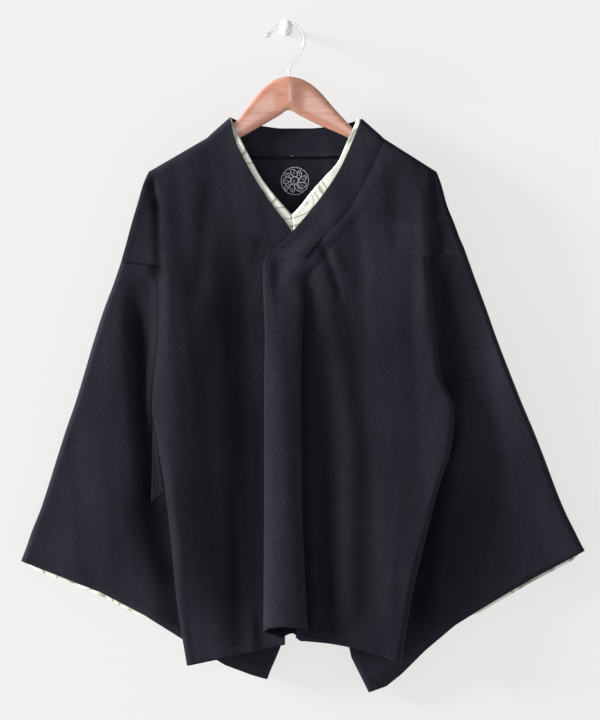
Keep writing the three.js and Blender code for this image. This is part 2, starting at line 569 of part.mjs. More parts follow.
// A point of a sleeve's front or back layer at the row v, a share u of the way out from its inner end.
function sleevePoint(rows, cuff, layer, v, u) {
  const at = (key) => columnAt(SLEEVE_DEPTHS, key, v);
  const [inX, inZ, outX, outZ] = ['inX', 'inZ', 'outX', 'outZ'].map((key) => columnAt(rows, key, v));
  const width = Math.hypot(outX - inX, outZ - inZ);
  const closed = smooth((v - 6) / 2);
  const opening = mix(smooth((u * width) / 14), turn(u * width), closed);
  const fold = Math.exp(-(((u - SLEEVE_FOLD.at) / SLEEVE_FOLD.wide) ** 2));
  const trough = SLEEVE_FOLD.deep * fold * smooth((v - 1) / 3);
  const [inY, level, edgeY] =
    layer === 'front'
      ? [at('frontIn'), at('frontY') + trough, at('outY') - SLEEVE_HALF_EDGE]
      : [at('backIn'), at('backY'), at('outY') + SLEEVE_HALF_EDGE];
  const y = mix(edgeY, mix(inY, level, opening), turn((1 - u) * width));
  const peeping = layer === 'back' ? smooth((u - FACING.from) / 0.1) * smooth((0.99 - u) / 0.05) : 0;
  const drop = FACING.peep * peeping * smooth(v - 11);
  const z = mix(inZ, outZ, u) + lookUp(cuff, 'u', 'up', u) * smooth((v - 8) / 4) - drop;
  return new THREE.Vector3(mix(inX, outX, u), y, z);
}

function sleeveLayer(name, rows, cuff, layer) {
  const gridLevels = [0, 0.35, ...rows.slice(1).map((_, k) => k + 1)];
  const grid = gridLevels.map((v) => SLEEVE_ACROSS.map((u) => sleevePoint(rows, cuff, layer, v, u)));
  return piece(name, clothWall(grid, CLOTH), NAVY);
}

function sleeveFacing(name, rows, cuff) {
  const last = rows.length - 1;
  const steps = [0, 1 / 3, 2 / 3, 1];
  const columns = Array.from({ length: 12 }, (_, k) => mix(FACING.from, FACING.to, k / 11));
  const grid = steps.map((step) =>
    columns.map((u) => {
      const low = sleevePoint(rows, cuff, 'back', last, u);
      const high = sleevePoint(rows, cuff, 'back', last - 1, u);
      const up = high.sub(low).setY(0).normalize();
      return low.clone().addScaledVector(up, FACING.high * step).setY(low.y - TRIM_BEHIND);
    }),
  );
  return piece(name, clothWall(grid, TRIM_CLOTH), IVORY);
}

// ---- collar ----
const BAND_ACROSS = [0, 0.35, 0.7, 1];
const BAND_CLIMB = 2.1; // how far the right band climbs further, over the top of the pleat
// How far the right front and its band stand out of the left front down to the top of the pleat.
const overlapLift = (z) => lapLift(z) + LAP_CLIMB * smooth((-z - 270) / 32);

// Depth of the left and right bands at (x, z). The right one climbs over the pleat's top.
const leftBandY = (x, z) => frontY(x, z);
function rightBandY(x, z) {
  const stand = z > LAP_TOP ? overlapLift(z) : lookUp(PLEAT_LINES, 'z', 'stand', z);
  return frontY(x, z, FAR_IN, HALF_EDGE, stand + BAND_CLIMB * smooth((-z - 285) / 15));
}

function band(name, rows, panelRows, depth) {
  const grid = levels(rows).map((v) =>
    BAND_ACROSS.map((u) => {
      const seam = rowPoint(panelRows, v, 0);
      const neckX = columnAt(rows, 'neckX', v);
      const x = mix(seam.x + Math.sign(neckX - seam.x) * SEAM_GAP, neckX, u);
      const z = mix(seam.z, columnAt(rows, 'neckZ', v), u);
      return new THREE.Vector3(x, depth(x, z), z);
    }),
  );
  return piece(name, clothWall(grid, CLOTH), NAVY);
}

function neckTrim(name, rows, depth) {
  const grid = levels(rows).slice(TOP_LEVELS.length - 1).map((v) =>
    [0, 0.5, 1].map((u) => {
      const x = mix(columnAt(rows, 'outX', v), columnAt(rows, 'inX', v), u);
      const z = mix(columnAt(rows, 'outZ', v), columnAt(rows, 'inZ', v), u);
      return new THREE.Vector3(x, depth(x, z) + TRIM_BEHIND, z);
    }),
  );
  return piece(name, clothWall(grid, TRIM_CLOTH), IVORY);
}

function backCollar() {
  const grid = [0, 0.33, 0.67, 1].map((u) =>
    COLLAR_BACK.map((p) => {
      const lowY = backY(p.lowX, p.lowZ);
      return new THREE.Vector3(mix(p.lowX, p.topX, u), mix(lowY, p.topY, u), mix(p.lowZ, p.topZ, u));
    }),
  );
  return piece('collar_band_back', clothWall(grid, CLOTH), NAVY);
}

// ---- hanger and peg ----
// A closed solid through convex rings of the same number of points.
function loft(rings) {
  const position = [];
  const triangle = (...points) => points.forEach((p) => position.push(p.x, p.y, p.z));
  const count = rings[0].length;
  for (let i = 0; i < rings.length - 1; i += 1) {
    for (let k = 0; k < count; k += 1) {
      const next = (k + 1) % count;
      triangle(rings[i][k], rings[i + 1][k], rings[i + 1][next]);
      triangle(rings[i][k], rings[i + 1][next], rings[i][next]);
    }
  }
  const last = rings[rings.length - 1];
  for (let k = 1; k < count - 1; k += 1) {
    triangle(rings[0][0], rings[0][k], rings[0][k + 1]);
    triangle(last[0], last[k + 1], last[k]);
  }
  const geometry = new THREE.BufferGeometry();
  geometry.setAttribute('position', new THREE.Float32BufferAttribute(position, 3));
  return mergeVertices(geometry, 1e-4);
}

function hangerWood() {
  const rings = HANGER.map(({ x, top, bottom, half }) => {
    const flat = half - CHAMFER;
    const outline = [
      [-flat, top],
      [flat, top],
      [half, top - CHAMFER],
      [half, bottom + CHAMFER],
      [flat, bottom],
      [-flat, bottom],
      [-half, bottom + CHAMFER],
      [-half, top - CHAMFER],
    ];
    return outline.map(([y, z]) => new THREE.Vector3(x, MID_Y + y, z));
  });
  return piece('hanger_wood', loft(rings), WOOD);
}

function hangerHook() {
  const route = new THREE.CatmullRomCurve3(HOOK_ROUTE.map(({ x, z }) => new THREE.Vector3(x, MID_Y, z)));
  const wire = new THREE.Shape().absarc(0, 0, HOOK_RADIUS, 0, 2 * Math.PI);
  const options = { steps: HOOK_STEPS, curveSegments: 5, extrudePath: route };
  return piece('hanger_hook', new THREE.ExtrudeGeometry(wire, options), CHROME);
}

function wallPeg() {
  const profile = PEG_PROFILE.map(({ r, y }) => new THREE.Vector2(r, y)).reverse();
  return piece('wall_peg', new THREE.LatheGeometry(profile, 24), WHITE);
}

const blouse = new THREE.Group();
blouse.add(
  frontLeft(),
  frontRight(),
  back(),
  sleeveLayer('sleeve_left_front', SLEEVE_LEFT, CUFF_LEFT, 'front'),
  sleeveLayer('sleeve_left_back', SLEEVE_LEFT, CUFF_LEFT, 'back'),
  sleeveLayer('sleeve_right_front', SLEEVE_RIGHT, CUFF_RIGHT, 'front'),
  sleeveLayer('sleeve_right_back', SLEEVE_RIGHT, CUFF_RIGHT, 'back'),
  sleeveFacing('sleeve_facing_left', SLEEVE_LEFT, CUFF_LEFT),
  sleeveFacing('sleeve_facing_right', SLEEVE_RIGHT, CUFF_RIGHT),
  band('collar_band_left', BAND_LEFT, LEFT_ROWS, leftBandY),
  band('collar_band_right', BAND_RIGHT, RIGHT_ROWS, rightBandY),
  backCollar(),
  neckTrim('neck_trim_left', TRIM_LEFT, leftBandY),
  neckTrim('neck_trim_right', TRIM_RIGHT, rightBandY),
  hangerWood(),
  hangerHook(),
  wallPeg(),
);

export default blouse;
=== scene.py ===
"""Kimono blouse on a wooden hanger, hooked over a wall peg: cloth, trims, finishes, wall, light and camera.

Lengths are in millimetres until a mesh is made, which is in metres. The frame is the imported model's: +Z up,
+X to the viewer's right, the wall on the plane y = 0 and everything in front of it at y < 0.
"""
import math
import random

import bpy
import numpy as np
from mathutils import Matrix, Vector


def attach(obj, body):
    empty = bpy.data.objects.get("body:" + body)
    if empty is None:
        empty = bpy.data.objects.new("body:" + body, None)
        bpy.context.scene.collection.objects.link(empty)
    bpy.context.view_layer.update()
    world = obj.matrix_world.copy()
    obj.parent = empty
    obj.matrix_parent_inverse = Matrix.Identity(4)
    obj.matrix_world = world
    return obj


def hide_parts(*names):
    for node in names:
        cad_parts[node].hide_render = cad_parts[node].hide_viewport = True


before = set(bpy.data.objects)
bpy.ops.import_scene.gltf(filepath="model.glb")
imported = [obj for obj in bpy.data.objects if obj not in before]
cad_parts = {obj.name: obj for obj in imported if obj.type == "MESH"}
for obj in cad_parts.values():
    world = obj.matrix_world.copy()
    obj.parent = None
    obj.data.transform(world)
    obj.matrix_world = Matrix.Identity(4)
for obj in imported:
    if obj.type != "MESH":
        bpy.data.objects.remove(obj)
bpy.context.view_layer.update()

MM = 0.001
# ---- driving sizes ----
CLOTH = 1.2  # how thick the crepe is
TRIM_CLOTH = 0.9  # and the ivory cloth
SEAM_GAP = 0.25  # how far two pieces stay apart at a seam
FAINT = 0.2  # share of that gap at the seams that hardly show
MID_Y = -43.0  # the depth of the hanger's middle and of the body's fold edges
EDGE_TURN = 7.0  # how far in from a fold edge the cloth still turns
HALF_EDGE = 0.15  # how far the cloth stands off that depth at a fold edge
SHOULDER_DEPTH = 9.0  # and at the shoulders
CHEST_FILL = 6.0  # how much more the front stands out further down
BACK_FILL = 3.0  # and the back
LAP_CLIMB = 2.2  # how far the right front climbs at each layer that it crosses
UNDERLAP = 2.0  # how far the left front lies back under the pleat
BAND_CLIMB = 2.1  # how far the right band's end climbs on the left one
TRIM_BEHIND = 1.6  # how far the ivory cloth lies behind the edge that it shows at
NECK_LEFT = -1.0  # where the left front ends under the pleat
NECK_RIGHT = 15.0  # where the right front comes out from under it
LAP_TOP = -302.0  # the height of the crossing, where the pleat begins
HEM_BASE = -833.0  # the height of its hem before the lift
CELL = 3.6  # the size of a mesh cell of cloth
HEM_TURN = 12.0  # the depth of the turned-up hem
HEM_THICK = 1.1  # how much thicker the hem is


def table(names, rows):
    """A table as a dict of columns."""
    return {name: np.array(column, float) for name, column in zip(names.split(), zip(*rows))}


# Rows of each half of the body from the shoulder down to the hem: the inner and the outer end, and how far
# the front and the back stand off at the outer one.
LEFT_ROWS = table("in_x in_z out_x out_z front back", [
    (-107, -151, -186, -197, HALF_EDGE, HALF_EDGE),
    (-103, -180, -193, -213, HALF_EDGE, HALF_EDGE),
    (-91, -210, -201, -240, HALF_EDGE, HALF_EDGE),
    (-71, -243, -209, -267, HALF_EDGE, HALF_EDGE),
    (-49, -267, -216, -293, HALF_EDGE, HALF_EDGE),
    (-30, -286, -223, -319, HALF_EDGE, HALF_EDGE),
    (-22, -295, -199, -322.5, 7.5, 8),
    (-14, -305, -175, -326, 5, 9.5),
    (NECK_LEFT, -332, -172, -354, 5, 10),
    (NECK_LEFT, -370, -172, -387, 5, 10),
    (NECK_LEFT, -418, -173, -427, 5, 10),
    (NECK_LEFT, -468, -178, -471, 5, 10),
    (NECK_LEFT, -520, -181, -514, 5, 10),
    (NECK_LEFT, -567, -174, -566, 2, 4),
    (NECK_LEFT, -628, -164, -628, HALF_EDGE, HALF_EDGE),
    (NECK_LEFT, -696, -155, -703, HALF_EDGE, HALF_EDGE),
    (NECK_LEFT, -764, -148, -778, HALF_EDGE, HALF_EDGE),
    (NECK_LEFT, HEM_BASE - 4.5, -134, -866, HALF_EDGE, HALF_EDGE),
])
RIGHT_ROWS = table("in_x in_z out_x out_z front back", [
    (133, -152, 204, -197, HALF_EDGE, HALF_EDGE),
    (119, -186, 210, -213, HALF_EDGE, HALF_EDGE),
    (103, -217, 218, -242, HALF_EDGE, HALF_EDGE),
    (85, -248, 228, -267, HALF_EDGE, HALF_EDGE),
    (66, -270, 235, -286, HALF_EDGE, HALF_EDGE),
    (50, -286, 242, -303, HALF_EDGE, HALF_EDGE),
    (43, -293, 218, -308, 7.5, 8),
    (35, LAP_TOP, 195, -313, 5, 9.5),
    (20, -324, 197, -340, 5, 10),
    (4, -346, 199, -362, 5, 10),
    (4, -380, 202, -392, 5, 10),
    (4, -420, 205, -424, 5, 10),
    (4, -470, 210, -471, 5, 10),
    (4, -520, 228, -520, 5, 10),
    (4, -567, 225, -567, 2, 4),
    (4, -628, 206, -628, HALF_EDGE, HALF_EDGE),
    (4, -696, 189, -696, HALF_EDGE, HALF_EDGE),
    (4, -764, 172, -767, HALF_EDGE, HALF_EDGE),
    (4, HEM_BASE, 156, -863, HALF_EDGE, HALF_EDGE),
])
LAP_ROW = 7  # the row at the crossing
ABREAST = 7  # the left row after which the right side's rows are one further on

FOLD = "x1 z1 x2 z2 wide out"  # a soft line from (x1, z1) to (x2, z2): out > 0 is a ridge, out < 0 a trough
FOLD_ENDS = 0.3  # the share of its length over which it fades out at each end
# The top outline of the shoulders and the neck.
RIDGE = table("x z", [
    (-186, -197), (-107, -151), (-75, -123), (-60, -60), (87, -60), (102, -125), (133, -152), (204, -197),
])
# x of the pleat's crease and of its right roll, and how far its face stands out, at heights from the hem up.
PLEAT_LINES = table("z crease roll stand", [
    (HEM_BASE, -30, 29, 19),
    (-640, -29, 21, 15),
    (-500, -29, 20, 12),
    (-420, -28, 22, 9),
    (-346, -30.5, 26, 6),
    (-324, -30.5, 32, 5.2),
    (LAP_TOP, -21, 40, 4.4),
])
PLEAT_SECTION = [  # the line that x is measured from, dx, share of the face's stand, base, lift at the hem
    ("neck_left", 17, 0, -0.7, 5.5),
    ("neck_left", 11.5, 0, -0.5, 10.5),
    ("neck_left", 0, 0, 0.2, 7.6),
    ("neck_left", -4, 0, 0.3, 4.6),
    ("crease", 14, 0, 0.4, 9),
    ("crease", 3, 0.12, 0.4, 12),
    ("crease", 0, 0.38, 0, 14),
    ("crease", 1.4, 0.66, 0, 16),
    ("crease", 7, 0.86, 0, 19),
    ("crease", 19, 0.99, 0, 21),
    ("middle", 0, 0.98, 0, 21),
    ("roll", -9, 0.86, 0, 19),
    ("roll", -2.5, 0.66, 0, 17),
    ("roll", 0, 0.4, 0, 14),
    ("roll", -3, 0.14, 0, 11),
    ("neck_right", 0, 0, -1.2, 5),
    ("neck_right", 5, 0, -2.2, 0),
]
MIDDLE = 10  # the number of the section's point in the middle of the face
PLEAT_RISE = 38.0  # the height over which the pleat's left part rises out of the left front
HEM_RISE = 7.0  # how far the right front's hem bows up
PLEAT_FLUSH = 2.1  # how far its top lies back, flush on the left front
PLEAT_THIN = 0.18  # the share of its thickness that it has there
PLEAT_FOLDS = table(FOLD, [
    (-13, -318, -2, -378, 6.5, -2.6),
    (-20, -560, -18, -760, 9, 0.5),
    (6, -420, 8, -640, 8, -0.5),
])
# The right front's points above the pleat: how far each lies from the seam, and its share of the lift.
FLAT_STEPS = [0, 6, 11, 14, 17, 20, 24]
FLAT_SHARE = [1, 0.95, 0.85, 0.75, 0.62, 0.5, 0.35]

FRONT_FOLDS = table(FOLD, [
    (-164, -300, -154, -780, 20, 5),
    (-50, -330, -48, -830, 44, -7.5),
    (-103, -214, -118, -366, 13, -2.8),
    (-108, -420, -92, -780, 16, -2.2),
    (50, -310, 94, -560, 16, 3),
    (94, -560, 88, -800, 18, 4),
    (58, -430, 60, -820, 17, -4),
    (148, -200, 150, -300, 14, -1.6),
    (186, -215, 188, -420, 9, 1.4),
    (-164, -225, -161, -340, 8, 0.8),
    # smaller creases
    (-92, -232, -84, -300, 6, -0.6),
    (-62, -300, -40, -352, 7, 0.6),
    (-140, -330, -134, -470, 8, 0.5),
    (-148, -640, -142, -800, 6, -0.4),
    (-70, -640, -64, -830, 7, -0.5),
    (50, -300, 78, -368, 4.5, -2),
    (62, -300, 92, -352, 6, 0.9),
    (100, -300, 112, -420, 9, -0.5),
    (92, -262, 104, -300, 6, -0.6),
    (170, -330, 176, -460, 8, -0.4),
    (104, -600, 98, -790, 8, 0.4),
    (158, -620, 142, -800, 7, 0.4),
    (214, -470, 190, -560, 8, -0.5),
])
# Where the cloth drops by down beside a line and comes up again over a distance. The distance is positive to
# the right of the line and negative to its left.
FRONT_STEPS = table("x1 z1 x2 z2 over down", [
    (192, -185, 194, -260, 90, 4),
    (194, -250, 198, -360, 400, 4.4),
    (-175, -205, -168, -250, -14, 5.0),
    (-168, -236, -168, -360, -400, 4.2),
])
BACK_FOLDS = table(FOLD, [
    (-70, -330, -62, -800, 22, 2.5),
    (20, -420, 26, -820, 20, -2),
    (96, -340, 88, -800, 22, 2.5),
    # smaller creases
    (-130, -260, -150, -420, 9, -1),
    (-100, -300, -112, -560, 10, 0.9),
    (-24, -300, -18, -520, 9, 0.8),
    (60, -260, 54, -430, 9, -0.9),
    (140, -280, 160, -440, 10, 1),
    (170, -540, 140, -780, 9, -0.9),
    (-140, -620, -120, -820, 9, 0.9),
    (4, -600, -6, -800, 7, -0.7),
])
# Rows of each sleeve from its head down to the cuff, and below them the depths of its two layers in each row.
SLEEVE_LEFT = table("in_x in_z out_x out_z", [
    (-175.2, -325.9, -223.2, -318.9),
    (-172.6, -354, -234, -350),
    (-172.6, -387, -247, -384),
    (-173.6, -427, -261, -427),
    (-178.6, -471, -274, -471),
    (-181.8, -511, -286, -510),
    (-178.4, -548, -299, -547),
    (-164, -585, -311, -584),
    (-133, -628, -323, -622),
    (-73, -683, -335, -658),
    (-27, -744, -346, -685),
    (-3, -818, -354, -708),
    (-26, -887, -361, -726),
])
SLEEVE_RIGHT = table("in_x in_z out_x out_z", [
    (195.3, -312.9, 242.2, -302.9),
    (198.9, -350, 256, -341),
    (202.2, -387, 271, -381),
    (205.9, -427, 286, -423),
    (210.7, -471, 303, -467),
    (227.4, -514, 321, -512),
    (226.6, -552, 338, -552),
    (208, -590, 353, -590),
    (185, -635, 368, -630),
    (133, -696, 381, -661),
    (98, -764, 394, -687),
    (84, -834, 402, -703),
    (113, -905, 407, -712),
])
SLEEVE_DEPTHS = table("front_in back_in front_y back_y out_y", [
    (-47, -33.4, -50.5, -33, -43),
    (-47, -32.6, -46, -31, -40),
    (-47, -32.4, -44.5, -30, -37),
    (-47, -32.2, -43, -29, -34),
    (-46, -32, -41.5, -28, -32),
    (-41, -31, -39, -26, -30),
    (-33, -27, -36, -22, -27),
    (-23.5, -20, -32, -18, -24),
    (-18.4, -17, -27, -14, -21),
    (-17.6, -16.4, -25, -12, -20),
    (-17.6, -16.4, -25, -11.5, -19),
    (-17.6, -16.4, -25, -11, -18),
    (-17.6, -16.4, -25, -11, -18),
])
# How far the cuff's edge lies over the last row, at shares of its width.
CUFF_LEFT = table("u up", [(0, 0), (0.06, -4), (0.17, -8), (0.36, 0), (0.5, 7), (0.68, 9.5), (1, 0)])
CUFF_RIGHT = table("u up", [
    (0, 0), (0.08, -7), (0.15, -4), (0.26, 7), (0.4, 14.5), (0.57, 13), (0.76, 9), (1, 0),
])
SLEEVE_HALF_EDGE = 0.35  # how far each layer stands off the outer fold's middle
SLEEVE_FOLD = {"at": 0.4, "wide": 0.12, "deep": 0.6}
FACING = {"high": 26.0, "peep": 5.4, "from": 0.44, "to": 0.97}
SLEEVE_FRONT_FOLDS = table(FOLD, [
    (-204, -380, -186, -640, 13, -9),
    (-236, -380, -242, -740, 50, 6),
    (-196, -640, -150, -760, 22, -4.5),
    (-286, -540, -312, -690, 14, -0.4),
    (250, -360, 262, -600, 20, -0.4),
    (300, -420, 322, -660, 30, 3.6),
    (259, -506, 259, -691, 7, 1.2),
    (300, -400, 372, -680, 36, 4.5),
    (290, -560, 300, -720, 12, 0.6),
    (180, -680, 150, -860, 12, 1.2),
])
SLEEVE_BACK_FOLDS = table(FOLD, [
    (-210, -360, -220, -640, 14, 1.4),
    (-270, -470, -296, -700, 12, -1.2),
    (-150, -680, -90, -830, 14, 1),
    (238, -360, 256, -640, 14, 1.4),
    (320, -500, 350, -680, 12, -1.2),
    (220, -680, 160, -860, 14, 1),
])

# Painted shade: how much darker (out < 0) the cloth is painted where shade falls in the hollows, and lighter
# (out > 0) on what stands out, as natural logarithms.
FRONT_PAINTED_SHADE = table(FOLD, [
    (-72, -290, -62, -800, 40, -0.95),
    (-56, -500, -56, -830, 30, -0.35),
    (-116, -330, -110, -760, 26, -0.35),
    (56, -380, 60, -840, 24, -0.75),
    (24, -380, 32, -840, 8, -0.6),
    (134, -360, 124, -860, 60, -0.24),
    (206, -190, 210, -330, 11, -0.35),
    (222, -230, 226, -330, 16, -0.4),
    (-184, -206, -177, -250, 8, -0.8),
    (-177, -240, -173.5, -334, 6.5, -1.8),
    (150, -180, 150, -260, 30, -0.36),
    (-90, -170, -60, -260, 26, -0.15),
    (-94, -214, -104, -330, 14, -0.2),
])
SLEEVE_PAINTED_SHADE = table(FOLD, [
    (-198, -370, -180, -690, 15, -1.1),
    (-176, -640, -148, -820, 26, -0.8),
    (212, -300, 224, -500, 19, -0.7),
    (222, -500, 178, -820, 20, -1.1),
    (250, -600, 214, -840, 28, -0.3),
])

# The neck edge of the collar bands, row by row of the fronts, and the trims' outer and inner edges.
BAND_LEFT = table("neck_x neck_z", [
    (-76, -124), (-70, -151), (-54, -185), (-34, -219), (-16, -245), (2, -269), (7.5, -280), (-3, -299),
])
BAND_RIGHT = table("neck_x neck_z", [
    (102, -125), (92, -151), (74, -191), (53, -224), (31, -252), (9, -278), (3, -285), (-4, -292),
    (-17, -303), (-22, -326),
])
TRIM_LEFT = table("out_x out_z in_x in_z", [
    (-79, -126, -74.5, -124.6),
    (-76, -142, -69, -139),
    (-70, -159, -62, -152),
    (-56, -187, -47, -181),
    (-43, -211, -33, -206),
    (-28, -233, -17, -227),
    (-14, -253, -5, -241),
    (9.2, -280, 7.4, -255),
])
TRIM_RIGHT = table("out_x out_z in_x in_z", [
    (102.6, -126, 96.6, -124.8),
    (98, -142, 91, -138),
    (92, -160, 84, -153),
    (77, -191, 70, -184),
    (64, -213, 53, -203),
    (46, -239, 35, -223),
    (33, -255, 21, -241),
    (10.4, -280, 8.4, -255),
])
COLLAR_BACK = table("low_x low_z top_x top_z top_y", [
    (-107, -151, -75.5, -123, -42.6),
    (-104, -153.4, -73, -123.6, -38.5),
    (-97, -158, -68, -125.5, -35.5),
    (-78, -167, -54, -130, -34.6),
    (-48, -172.4, -28, -134.5, -34.2),
    (-10, -173.6, -4, -137, -34),
    (38, -173.6, 30, -137, -34),
    (74, -172.4, 56, -135, -34.2),
    (103, -167, 81, -131, -34.6),
    (122, -159, 95, -127, -35.5),
    (130, -154, 100, -125.4, -38.5),
    (133, -152, 102.5, -125, -42.6),
])
HANGER = table("x top bottom half", [
    (-180, -199, -207, 3.5),
    (-174, -192.5, -212, 6),
    (-158, -182.8, -206, 6),
    (-130, -166.6, -189, 6),
    (-105, -152.4, -173, 6),
    (-84, -139, -161, 6),
    (-65, -125, -152, 6),
    (-50, -106, -144, 6),
    (-38, -91, -137, 6),
    (-24, -77.5, -129, 6),
    (-10, -69.5, -121, 6),
    (4, -67, -113, 6),
    (18, -69.5, -120, 6),
    (34, -77.5, -128, 6),
    (49, -91, -135, 6),
    (63, -107.5, -141, 6),
    (78, -124, -147.5, 6),
    (92, -138, -155, 6),
    (112, -149, -167, 6),
    (133, -159, -180, 6),
    (160, -173.5, -196, 6),
    (187, -189.5, -211, 6),
    (195, -197, -207, 3.5),
])
HOOK_RADIUS = 2.0  # half as thick as the wire
HOOK_ROUTE = table("x z", [
    (4, -66.6), (4, -58), (11, -45), (20, -33), (24.5, -20), (21.5, -7), (12.5, 2.4), (0, 6.7), (-10.5, 1.6),
    (-20, -7), (-28, -14),
])
PEG_PLATE = table("r y", [
    (0.3, 0), (8.1, 0), (8.4, -0.01), (8.4, -2.2), (8.1, -2.9), (7.4, -3.5), (6.4, -4.0), (5.2, -4.5),
    (4.5, -5.4),
])
PEG_KNOB = table("r y", [(4.4, -47), (8.4, -48.5), (8.9, -52), (8.2, -56), (5.5, -58.5), (0.3, -59.5)])


# ---- helpers ----
def smooth(t):
    t = np.clip(t, 0, 1)
    return t * t * (3 - 2 * t)


def mix(a, b, t):
    return a + (b - a) * t


def below(z, start, over):
    """0 above the height start and 1 from the distance over further down."""
    return smooth((start - z) / over)


def bell(distance, wide):
    """1 in the middle, falling off evenly to both sides."""
    return np.exp(-((distance / wide) ** 2))


def turn(distance):
    """0 at a fold edge and 1 from EDGE_TURN inwards, on a quarter of an ellipse."""
    return np.sqrt(1 - (1 - np.clip(distance / EDGE_TURN, 0, 1)) ** 2)


def column_at(rows, key, v):
    """A column of a table at the row number v, as a smooth curve that never overshoots."""
    p = rows[key]
    step = np.diff(p)
    slope = np.concatenate([step[:1], np.zeros(len(p) - 2), step[-1:]])
    a, b = step[:-1], step[1:]
    same = a * b > 0
    slope[1:-1][same] = 2 * a[same] * b[same] / (a[same] + b[same])
    v = np.asarray(v, float)
    i = np.clip(np.floor(v).astype(int), 0, len(p) - 2)
    t = v - i
    rise, m, n = p[i + 1] - p[i], slope[i], slope[i + 1]
    return p[i] + t * (m + t * (3 * rise - 2 * m - n + t * (m + n - 2 * rise)))


def look_up(rows, by, key, value):
    """A column as a smooth function of another, rising, column."""
    return column_at(rows, key, np.interp(value, rows[by], np.arange(len(rows[by]))))


def folds_at(folds, x, z):
    """How far the folds of a table move the cloth out at (x, z)."""
    out = np.zeros(np.broadcast(x, z).shape)
    for x1, z1, x2, z2, wide, height in zip(*folds.values()):
        dx, dz = x2 - x1, z2 - z1
        along = ((x - x1) * dx + (z - z1) * dz) / (dx * dx + dz * dz)
        across = ((x - x1) * dz - (z - z1) * dx) / math.hypot(dx, dz)
        ends = smooth(along / FOLD_ENDS + 0.5) * smooth((1 - along) / FOLD_ENDS + 0.5)
        out += height * bell(across, wide) * ends
    return out


STEP_WIDE = 5.0  # how far beside its line such a drop is complete


def steps_at(x, z):
    """How far the front cloth drops beside the lines of FRONT_STEPS."""
    down = np.zeros(np.broadcast(x, z).shape)
    for x1, z1, x2, z2, over, deep in zip(*FRONT_STEPS.values()):
        along = (z - z1) / (z2 - z1)
        away = (x - mix(x1, x2, along)) * math.copysign(1, over)
        shape = smooth(away / STEP_WIDE) * np.exp(-np.maximum(away, 0) / abs(over))
        ends = smooth((along + 0.1) / 0.35) * smooth((1.1 - along) / 0.2)
        down = np.maximum(down, deep * shape * ends)
    return down


# Long soft waves that keep hanging cloth from looking ironed.
WAVES = table("long_x long_z phase height", [
    (92, 310, 0.4, 0.5),
    (57, 420, 2.1, 0.35),
    (148, 190, 4.4, 0.45),
    (38, 150, 1.2, 0.14),
    (24, 87, 3.3, 0.07),
])


def drape(x, z, seed=0.0):
    """Small uneven waves, mostly upright, of the hanging cloth."""
    out = 0
    for long_x, long_z, phase, height in zip(*WAVES.values()):
        bend = 1.3 * np.sin(z / 130 + phase + seed)
        turns = x / long_x + z / long_z * 0.35
        out = out + height * np.sin(2 * math.pi * turns + phase * (1 + seed) + bend)
    return out


RIDGE_LEAN = 0.86  # turns a height below the sloping ridge into a distance from it


def below_ridge(x, z):
    """How far the point (x, z) lies below the ridge of the shoulders."""
    return np.maximum(0, (np.interp(x, RIDGE["x"], RIDGE["z"]) - z) * RIDGE_LEAN)


def chest(z):
    """0 at the shoulders and 1 from the waist down."""
    return below(z, -200, 250)


def front_fill(z):
    return SHOULDER_DEPTH + CHEST_FILL * chest(z)


FAR_IN = 100.0  # a distance from the edge that is as good as none being near
SOFT_FROM = 12.0  # the distance from it where the soft folds have their full height


def front_y(x, z, side=FAR_IN, edge=HALF_EDGE, out=0.0, ease=0.0):
    """Depth of the front cloth, side being the distance in from its outer edge and edge its stand-off there.

    ease is 0 at a fold edge and 1 at a flat seam, where it doesn't turn in.
    """
    soft = folds_at(FRONT_FOLDS, x, z) + drape(x, z)
    full = front_fill(z) + soft * smooth(side / SOFT_FROM) + out - steps_at(x, z)
    turned = edge + (full - edge) * mix(turn(side), 1, ease)
    return MID_Y - (HALF_EDGE + (turned - HALF_EDGE) * turn(below_ridge(x, z)))


def back_y(x, z, side=FAR_IN, edge=HALF_EDGE):
    soft = folds_at(BACK_FOLDS, x, z) + drape(x, z, 0.7)
    full = SHOULDER_DEPTH + BACK_FILL * chest(z) + soft * smooth(side / SOFT_FROM)
    turned = edge + (full - edge) * turn(side)
    return MID_Y + (HALF_EDGE + (turned - HALF_EDGE) * turn(below_ridge(x, z)))


PLEAT_BED = 5.5  # how far the cloth beside and behind the pleat lies below the chest


def sink(z):
    return PLEAT_BED * below(z, -330, 70)


def overlap_lift(z):
    """How far the right front lies out on what it crosses, above the pleat."""
    return LAP_CLIMB * (below(z, -215, 50) + below(z, -270, 32))


EDGE_STATIONS = (0.35, 1, 2, 3.4, 5.2)  # how far in from a tight edge the further columns lie
LEAST_CELL = 0.3


def spread(length, cell=CELL, tight=True):
    """Shares 0 to 1 of a length, a cell apart, closer together near both ends where tight is set."""
    count = max(2, round(length / cell))
    shares = set(np.linspace(0, 1, count + 1))
    if tight:
        near = [d / length for d in EDGE_STATIONS if d < 0.2 * length]
        shares |= set(near) | {1 - s for s in near}
    shares = sorted(shares)
    kept = [shares[0]]
    for s in shares[1:-1]:
        if min(s - kept[-1], 1 - s) * length > LEAST_CELL:
            kept.append(s)
    return np.array(kept + [1.0])


def row_steps(rows, keys, start=0, stop=None, first_tight=True):
    """Row numbers from start to stop, a cell apart along the given x and z columns."""
    stop = len(rows[keys[0]]) - 1 if stop is None else stop
    levels = [float(start)]
    for k in range(start, stop):
        length = math.hypot(*(rows[key][k + 1] - rows[key][k] for key in keys))
        shares = spread(max(length, CELL), tight=first_tight and k == start)
        if k > start:
            shares = np.linspace(0, 1, max(2, round(length / CELL)) + 1)
        levels += list(k + shares[1:])
    return np.array(levels)


def shown(name, data):
    """A new object in the scene."""
    thing = bpy.data.objects.new(name, data)
    bpy.context.scene.collection.objects.link(thing)
    return thing


